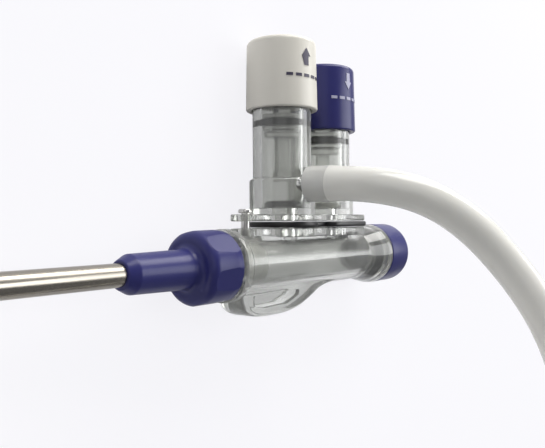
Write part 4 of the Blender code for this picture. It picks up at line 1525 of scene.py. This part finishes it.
@dataclass
class SuctionHose:
    """The milky hose from the port over a high arch to a tied hank, with its connector."""

    bench: Bench
    hose_r: float = 0.0045
    bore_r: float = 0.0031
    cuff_r: float = 0.0048
    barb_bore_r: float = 0.00365
    start_z: float = 0.0095
    barb_end_z: float = 0.0170
    hank_x: float = -0.0980
    hank_y: float = -0.0605
    run: float = 0.1495
    mean_r: float = 0.0360
    hank_low: float = 0.0009
    tail_x: float = -0.1873
    tail_height: float = 0.0247
    tail_length: float = 0.0150
    clear_length: float = 0.0060
    sides: int = 40
    span_steps: int = 16
    free_step: float = 0.00125
    ease_rounds: int = 40
    wound_turns: float = 5.17
    wound_steps: int = 620
    step_before: float = 0.0012
    step_length: float = 0.0030
    strap_width: float = 0.0080
    strap_thick: float = 0.0006

    @property
    def floor_z(self) -> float:
        """The surface that everything lies on, in the handpiece frame."""
        return -self.bench.origin.z

    def free_route(self) -> list[Vector]:
        """The stretch that isn't wound, from the port to the hank.

        Returns:
            The centreline's points, evenly spaced.
        """
        low = self.floor_z + self.hank_low + self.hose_r
        outer_y = self.hank_y - self.mean_r - 2 * self.hose_r
        points = [(0.0257, 0.0205, 0.0095), (0.0257, 0.0205, 0.0134), (0.0257, 0.0205, 0.0173),
                  (0.02575, 0.02048, 0.0190), (0.0266, 0.0201, 0.0235), (0.0295, 0.0192, 0.0306),
                  (0.0340, 0.0166, 0.0384), (0.0401, 0.0100, 0.0465), (0.0450, 0.0023, 0.0522),
                  (0.0484, -0.0085, 0.0595), (0.0500, -0.0213, 0.0655), (0.0508, -0.0363, 0.0684),
                  (0.0513, -0.0525, 0.0661), (0.0471, -0.0734, 0.0570), (0.0362, -0.0902, 0.0425),
                  (0.0196, -0.1014, 0.0266), (0.0000, outer_y, 0.0122), (-0.0215, outer_y, 0.0009),
                  (-0.0450, outer_y, low), (self.hank_x, outer_y, low)]
        route = smooth_route([Vector(p) for p in points], self.span_steps)
        return relaxed(route, self.free_step, self.ease_rounds)

    def track(self, turns: float, radius: float) -> Point2:
        """A point of the hank's long loop: two runs and two folds, wound from the lower right end.

        Args:
            turns: how many turns have been wound; its fraction gives the place on the loop.
            radius: the fold's radius on this turn.

        Returns:
            The point's place on the floor, in the handpiece frame.
        """
        loop = 2 * self.run + 2 * math.pi * self.mean_r
        run_share = self.run / loop
        fold_share = 0.5 - run_share
        place = turns % 1.0
        back = place >= 0.5
        place -= 0.5 if back else 0.0
        side = 1 if back else -1
        if place < run_share:
            start = self.hank_x - (self.run if back else 0.0)
            return start + side * self.run * place / run_share, self.hank_y + side * radius
        turn = math.pi * (place - run_share) / fold_share
        fold_x = self.hank_x - (0.0 if back else self.run)
        return fold_x + side * radius * math.sin(turn), self.hank_y + side * radius * math.cos(turn)

    def wound_route(self) -> list[Vector]:
        """The wound turns: three side by side, then three more on top, and the rise of the tail.

        Each turn moves over by one diameter in a zone of its own, and the winding climbs once, so
        no turn ever runs through its neighbour.

        Returns:
            The centreline's points.
        """
        pitch = 2 * self.hose_r
        rise = self.tail_height - self.hank_low - self.hose_r - pitch
        moves = [(0.85, 0.18, -pitch, 0.0), (1.85, 0.18, -pitch, 0.0), (2.70, 0.12, 0.0, pitch),
                 (3.56, 0.12, pitch, 0.0), (4.56, 0.12, pitch, 0.0), (5.04, 0.12, 0.0, rise),
                 (5.11, 0.12, -pitch, 0.0)]
        points = []
        for i in range(1, self.wound_steps + 1):
            turns = self.wound_turns * i / self.wound_steps
            radius, height = self.mean_r + pitch, self.hank_low + self.hose_r
            for centre, width, over, up in moves:
                share = smooth_share((turns - centre) / width + 0.5)
                radius += over * share
                height += up * share
            x, y = self.track(turns, radius)
            points.append(Vector((x, y, self.floor_z + height)))
        return points

    def tail(self) -> tuple[Vector, Vector]:
        """Where the wound turns end and the straight tail starts, and the tail's direction."""
        start = Vector((self.tail_x, self.hank_y - self.mean_r, self.floor_z + self.tail_height))
        return start, Vector((-1, 0, 0))

    def route(self) -> list[Vector]:
        """The hose's whole centreline, in the handpiece frame."""
        start, along = self.tail()
        end = [start + along * self.tail_length * share for share in (0.35, 0.7, 1.0)]
        return self.free_route() + self.wound_route() + end

    def wall(self, travelled: float) -> tuple[float, float]:
        """The hose's two radii, wider where it is stretched over the barbs.

        Args:
            travelled: the distance from the hose's start.

        Returns:
            The outer and the inner radius.
        """
        on_barb = self.barb_end_z - self.start_z
        eased = smooth_share((travelled - on_barb + self.step_before) / self.step_length)
        outer = self.cuff_r + (self.hose_r - self.cuff_r) * eased
        inner = self.barb_bore_r + (self.bore_r - self.barb_bore_r) * eased
        return outer, inner

    def tube(self, centreline: list[Vector]) -> bpy.types.Object:
        """The hose as a hollow tube with its length in its map's U.

        Args:
            centreline: the hose's centreline.

        Returns:
            The hose, in the handpiece frame.
        """
        work = bmesh.new()
        uv = work.loops.layers.uv.new("UVMap")
        across = Vector((1, 0, 0))
        travelled = 0.0
        rows: list[tuple[float, list[bmesh.types.BMVert], list[bmesh.types.BMVert]]] = []
        for i, point in enumerate(centreline):
            ahead = centreline[min(i + 1, len(centreline) - 1)] - centreline[max(i - 1, 0)]
            ahead.normalize()
            across = (across - ahead * across.dot(ahead)).normalized()
            beside = ahead.cross(across)
            if i:
                travelled += (point - centreline[i - 1]).length
            ring = []
            for radius in self.wall(travelled):
                turns = [2 * math.pi * k / self.sides for k in range(self.sides)]
                ring.append([work.verts.new(point + (across * math.cos(t) + beside * math.sin(t)) * radius)
                             for t in turns])
            rows.append((travelled, ring[0], ring[1]))
        count = self.sides
        for (u0, out0, in0), (u1, out1, in1) in zip(rows, rows[1:]):
            for k in range(count):
                n = (k + 1) % count
                faces = [work.faces.new((out0[k], out0[n], out1[n], out1[k])),
                         work.faces.new((in0[n], in0[k], in1[k], in1[n]))]
                for face, order in zip(faces, ((0, 1, 1, 0), (1, 0, 0, 1))):
                    lengths = (u0, u0, u1, u1)
                    for loop, side, length in zip(face.loops, order, lengths):
                        loop[uv].uv = (length, (k + side) / count)
        for travelled, outer, inner in (rows[0], rows[-1]):
            for k in range(count):
                n = (k + 1) % count
                face = work.faces.new((outer[k], inner[k], inner[n], outer[n]))
                for loop in face.loops:
                    loop[uv].uv = (travelled, k / count)
        return mesh_object("milky_hose", work, Matrix.Identity(4))

    def connector(self) -> bpy.types.Object:
        """The stepped blue connector in the hose's end, lying on the hank.

        Returns:
            The finished connector.
        """
        start, along = self.tail()
        length, bore, grip_r, step_r, gap = 0.0360, 0.0018, 0.0055, 0.0049, 0.0003
        corners = [(0.0, bore, 0), (0.0, 0.0052, 0.0005), (0.0008, grip_r, 0.0002), (0.0120, grip_r, 0.0005),
                   (0.0126, step_r, 0.0001), (0.0150, step_r, 0.0002), (0.0156, 0.0044, 0.0002),
                   (length - 0.0050, 0.0036, 0.002), (length, 0.0030, 0.0002), (length, bore, 0.0002)]
        piece = turned("hose_end_connector", rounded(corners), Axis.PORT, sides=SMALL)
        turn = along.to_track_quat("Z", "Y").to_matrix().to_4x4()
        piece.data.transform(Matrix.Translation(start + along * (self.tail_length + gap)) @ turn)
        return self.bench.add(piece, HANDPIECE, "blue", "blue", ["hose_connector"])

    def strap(self) -> bpy.types.Object:
        """The strap round a run of the hank, as a woven band with its own map.

        Returns:
            The finished strap.
        """
        half_wide, half_high, corner, weave_repeats = 0.0144, 0.0093, 0.0030, 6
        thick, half_width = self.strap_thick, self.strap_width / 2
        signs = ((1, -1), (1, 1), (-1, 1), (-1, -1))
        outer = rounded([(x * (half_wide + thick), y * (half_high + thick), corner + thick)
                         for x, y in signs])
        inner = rounded([(x * half_wide, y * half_high, corner) for x, y in signs])
        work = bmesh.new()
        uv = work.loops.layers.uv.new("UVMap")
        lines = ((outer, -half_width), (outer, half_width), (inner, half_width), (inner, -half_width))
        layers = [[work.verts.new((x, y, z)) for x, y in line] for line, z in lines]
        count = len(outer)
        for row in range(4):
            near, far = layers[row], layers[(row + 1) % 4]
            for k in range(count):
                face = work.faces.new((near[k], near[(k + 1) % count], far[(k + 1) % count], far[k]))
                for loop, (u, v) in zip(face.loops, ((k, 0), (k + 1, 0), (k + 1, 1), (k, 1))):
                    loop[uv].uv = (u / count * weave_repeats, v)
        middle = (self.hank_x - self.run / 2, self.hank_y + self.mean_r,
                  self.floor_z + self.hank_low + 2 * self.hose_r)
        turn = Matrix.Rotation(math.pi / 2, 4, "Z") @ Matrix.Rotation(math.pi / 2, 4, "X")
        strap = mesh_object("hank_strap", work, Matrix.Translation(middle) @ turn)
        return self.bench.add(strap, HANDPIECE, "strap", "tie", ["hank_tie"])

    def build(self) -> None:
        centreline = self.route()
        hose = self.bench.add(self.tube(centreline), HANDPIECE, "hose", "hose",
                              ["suction_hose", "hose_cuff", "hose_hank", "hose_tail"])
        hose.data.materials.append(self.bench.finishes["clear_hose"])
        lengths = hose.data.uv_layers["UVMap"].data
        for face in hose.data.polygons:
            if lengths[face.loop_start].uv.x < self.clear_length:
                face.material_index = 1
        connector = self.connector()
        strap = self.strap()
        path = [list(self.bench.row(p)) for p in centreline]


@dataclass
class Studio:
    """The floor, the lamps and the camera."""

    bench: Bench
    eye: tuple[float, float, float] = (-0.11424, 0.01055, 0.10262)
    yaw: float = math.radians(52.83)
    pitch: float = math.radians(-0.17)
    roll: float = math.radians(-0.49)
    focal_px: float = 634.99
    photo_width_px: float = 545.0
    sensor_mm: float = 36.0
    clip: tuple[float, float] = (0.005, 20.0)
    aim: tuple[float, float, float] = (0.03, 0.01, 0.0)
    floor_half: float = 4.0
    floor_drop: float = 0.0002
    glow_seen: float = 0.88
    glow_mirrored: float = 0.20
    glow_through: float = 0.45
    sky_strength: float = 0.26

    def build(self) -> None:
        """Build the whole studio."""
        bpy.context.scene.view_settings.view_transform = "Standard"
        self.camera()
        self.floor()
        self.lamps()
        self.sky()

    def camera(self) -> None:
        """The camera with the photograph's view of the handpiece, which has the valves upright."""
        ahead = Vector((math.sin(self.yaw), 0, -math.cos(self.yaw)))
        right = Vector((math.cos(self.yaw), 0, math.sin(self.yaw)))
        up = Vector((0, 1, 0))
        look = ahead * math.cos(self.pitch) + up * math.sin(self.pitch)
        up = up * math.cos(self.pitch) - ahead * math.sin(self.pitch)
        level = right * math.cos(self.roll) + up * math.sin(self.roll)
        upright = -right * math.sin(self.roll) + up * math.cos(self.roll)
        turn = Matrix((level, upright, -look)).transposed().to_4x4()
        data = bpy.data.cameras.new("camera")
        data.sensor_width = self.sensor_mm
        data.lens = self.focal_px * self.sensor_mm / self.photo_width_px
        data.clip_start, data.clip_end = self.clip
        camera = bpy.data.objects.new("camera", data)
        camera.matrix_world = Matrix.Translation(self.bench.row(self.eye)) @ turn
        bpy.context.scene.collection.objects.link(camera)
        bpy.context.scene.camera = camera

    def floor(self) -> None:
        """The plain pale floor, which shows brighter to the eye, to metal and through the clear parts."""
        work = bmesh.new()
        half = self.floor_half
        corners = ((-half, -half), (half, -half), (half, half), (-half, half))
        work.faces.new([work.verts.new((x, y, 0)) for x, y in corners])
        floor = mesh_object("floor", work, Matrix.Translation((0, 0, -self.floor_drop)))
        made, nodes, shader = new_material("pale_floor")
        shader.inputs["Base Color"].default_value = (0.85, 0.85, 0.87, 1)
        shader.inputs["Roughness"].default_value = 0.8
        path = nodes.add("ShaderNodeLightPath")
        glossy = nodes.math("MULTIPLY", path.outputs["Is Glossy Ray"], self.glow_mirrored)
        through = nodes.math("MULTIPLY", path.outputs["Is Transmission Ray"], self.glow_through)
        indirect = nodes.math("MAXIMUM", glossy, through)
        direct = nodes.math("MULTIPLY", path.outputs["Is Camera Ray"], self.glow_seen)
        glow = nodes.add("ShaderNodeEmission", {"Color": (0.97, 0.965, 1.0, 1), "Strength": 1.0})
        mix = nodes.add("ShaderNodeMixShader", {"Fac": nodes.math("MAXIMUM", direct, indirect)})
        nodes.feed(mix.inputs[1], shader.outputs["BSDF"])
        nodes.feed(mix.inputs[2], glow.outputs["Emission"])
        nodes.feed(made.node_tree.nodes["Material Output"].inputs["Surface"], mix.outputs["Shader"])
        floor.data.materials.append(made)
        bpy.context.scene.collection.objects.link(floor)

    def lamp(self, name: str, at: Sequence[float], size: Point2, power: float, color: Color) -> None:
        """One soft panel that faces the handpiece.

        Args:
            name: the lamp's name.
            at: its place in the handpiece frame.
            size: its width and height.
            power: its power in watts.
            color: its colour.
        """
        data = bpy.data.lights.new(name, "AREA")
        data.shape = "RECTANGLE"
        data.size, data.size_y = size
        data.energy = power
        data.color = color
        lamp = bpy.data.objects.new(name, data)
        place = self.bench.row(at)
        aim = self.bench.row(self.aim) - place
        lamp.matrix_world = Matrix.Translation(place) @ aim.to_track_quat("-Z", "Y").to_matrix().to_4x4()
        bpy.context.scene.collection.objects.link(lamp)

    def lamps(self) -> None:
        """A long panel above the caps' side, one above the rear, and a weak fill by the camera."""
        self.lamp("key", (0.30, 0.75, 0.30), (1.1, 0.4), 9.0, (1.0, 0.985, 0.96))
        self.lamp("rear", (0.65, 0.15, 0.80), (0.5, 0.9), 5.5, (0.98, 0.99, 1.0))
        self.lamp("fill", (-0.80, 0.30, 0.55), (0.7, 0.7), 1.0, (1.0, 1.0, 1.0))

    def sky(self) -> None:
        """A dim even world that keeps the shadows open."""
        world = bpy.data.worlds.new("sky")
        world.use_nodes = True
        nodes = Nodes(world.node_tree)
        ground = world.node_tree.nodes["Background"]
        path = nodes.add("ShaderNodeLightPath")
        ground.inputs["Color"].default_value = (0.92, 0.93, 0.96, 1)
        strength = nodes.math("MAXIMUM", path.outputs["Is Camera Ray"], self.sky_strength)
        nodes.feed(ground.inputs["Strength"], strength)
        bpy.context.scene.world = world


def build_finishes() -> dict[str, bpy.types.Material]:
    """Make every finish of the object.

    Returns:
        The materials by name.
    """
    build_grain_group()
    build_edge_highlight_group()
    steel_lines, pin_lines = (0.02, 1.0, 1.0), (1.0, 0.2, 1.0)
    finishes: dict[str, Callable[[], bpy.types.Material]] = {
        # The second colour of each moulded plastic is the lighter colour of its painted edge highlight.
        "blue": MouldedPlastic("blue_plastic", Tint.BLUE, (0.08, 0.075, 0.22), 0.34).material,
        "white": MouldedPlastic("warm_white_plastic", Tint.WARM_WHITE, (0.80, 0.79, 0.76), 0.34).material,
        "ferrule_white": MouldedPlastic("ferrule_plastic", Tint.FERRULE_WHITE, (0.85, 0.85, 0.84),
                                        0.25).material,
        "clear": ClearPlastic("clear_plastic").material,
        "clear_inner": ClearPlastic("clear_piston_plastic", waves=0.03).material,
        "clear_hose": ClearPlastic("clear_tubing", Tint.CLEAR_HOSE, waves=0.10, see_through=0.50).material,
        "hose": MilkyHose("milky_tubing", 0.012).material,
        "tube_steel": BrushedSteel("tube_steel", Tint.STEEL, steel_lines).material,
        "bright_steel": BrushedSteel("bright_steel", Tint.BRIGHT_STEEL, pin_lines, 0.2).material,
        "rubber": BlackRubber("black_rubber").material,
        "silicone": MouldedPlastic("pale_silicone", Tint.SILICONE, (0.70, 0.70, 0.67), 0.42).material,
        "ink": PrintInk("violet_ink", Tint.INK, (0.12, 0.11, 0.16)).material,
        "pale_ink": PrintInk("pale_ink", Tint.PALE_INK, (0.20, 0.19, 0.42)).material,
        "strap": WovenStrap("woven_strap").material,
    }
    return {name: make() for name, make in finishes.items()}


def handpiece_origin() -> Vector:
    """The handpiece frame's origin in the row frame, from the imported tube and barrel.

    Returns:
        The origin.
    """
    tube_low, tube_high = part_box("cannula_tube")
    barrel_low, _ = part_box("barrel")
    middle = (Vector(tube_low) + Vector(tube_high)) / 2
    return Vector((barrel_low[0] - Barrel.neck_x, middle.y, middle.z))


def main() -> None:
    """Load the frame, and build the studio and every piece."""
    logging.basicConfig(level=logging.INFO, format="%(name)s: %(message)s")
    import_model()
    bench = Bench(handpiece_origin())
    bench.finishes = build_finishes()
    plates = Plates()
    Studio(bench).build()
    SuctionHose(bench).build()
    Cannula(bench).build()
    Barrel(bench, plates).build()
    ValveBlock(bench, plates).build()
    Valve(bench, "suction", plates.suction_x, rim_y=0.0407, ring_y=0.0371, cap_finish="white",
          cap_slot="white", ink="ink", arrow=Arrow.UP, seat_finish="rubber", print_turn=100.0,
          print_height=0.0132).build()
    Valve(bench, "irrigation", plates.irrigation_x, rim_y=0.0370, ring_y=0.0341, cap_finish="blue",
          cap_slot="blue", ink="pale_ink", arrow=Arrow.DOWN, seat_finish="silicone", print_turn=95.0,
          print_height=0.0140).build()
    RearCap(bench).build()


if __name__ == "__main__":
    main()
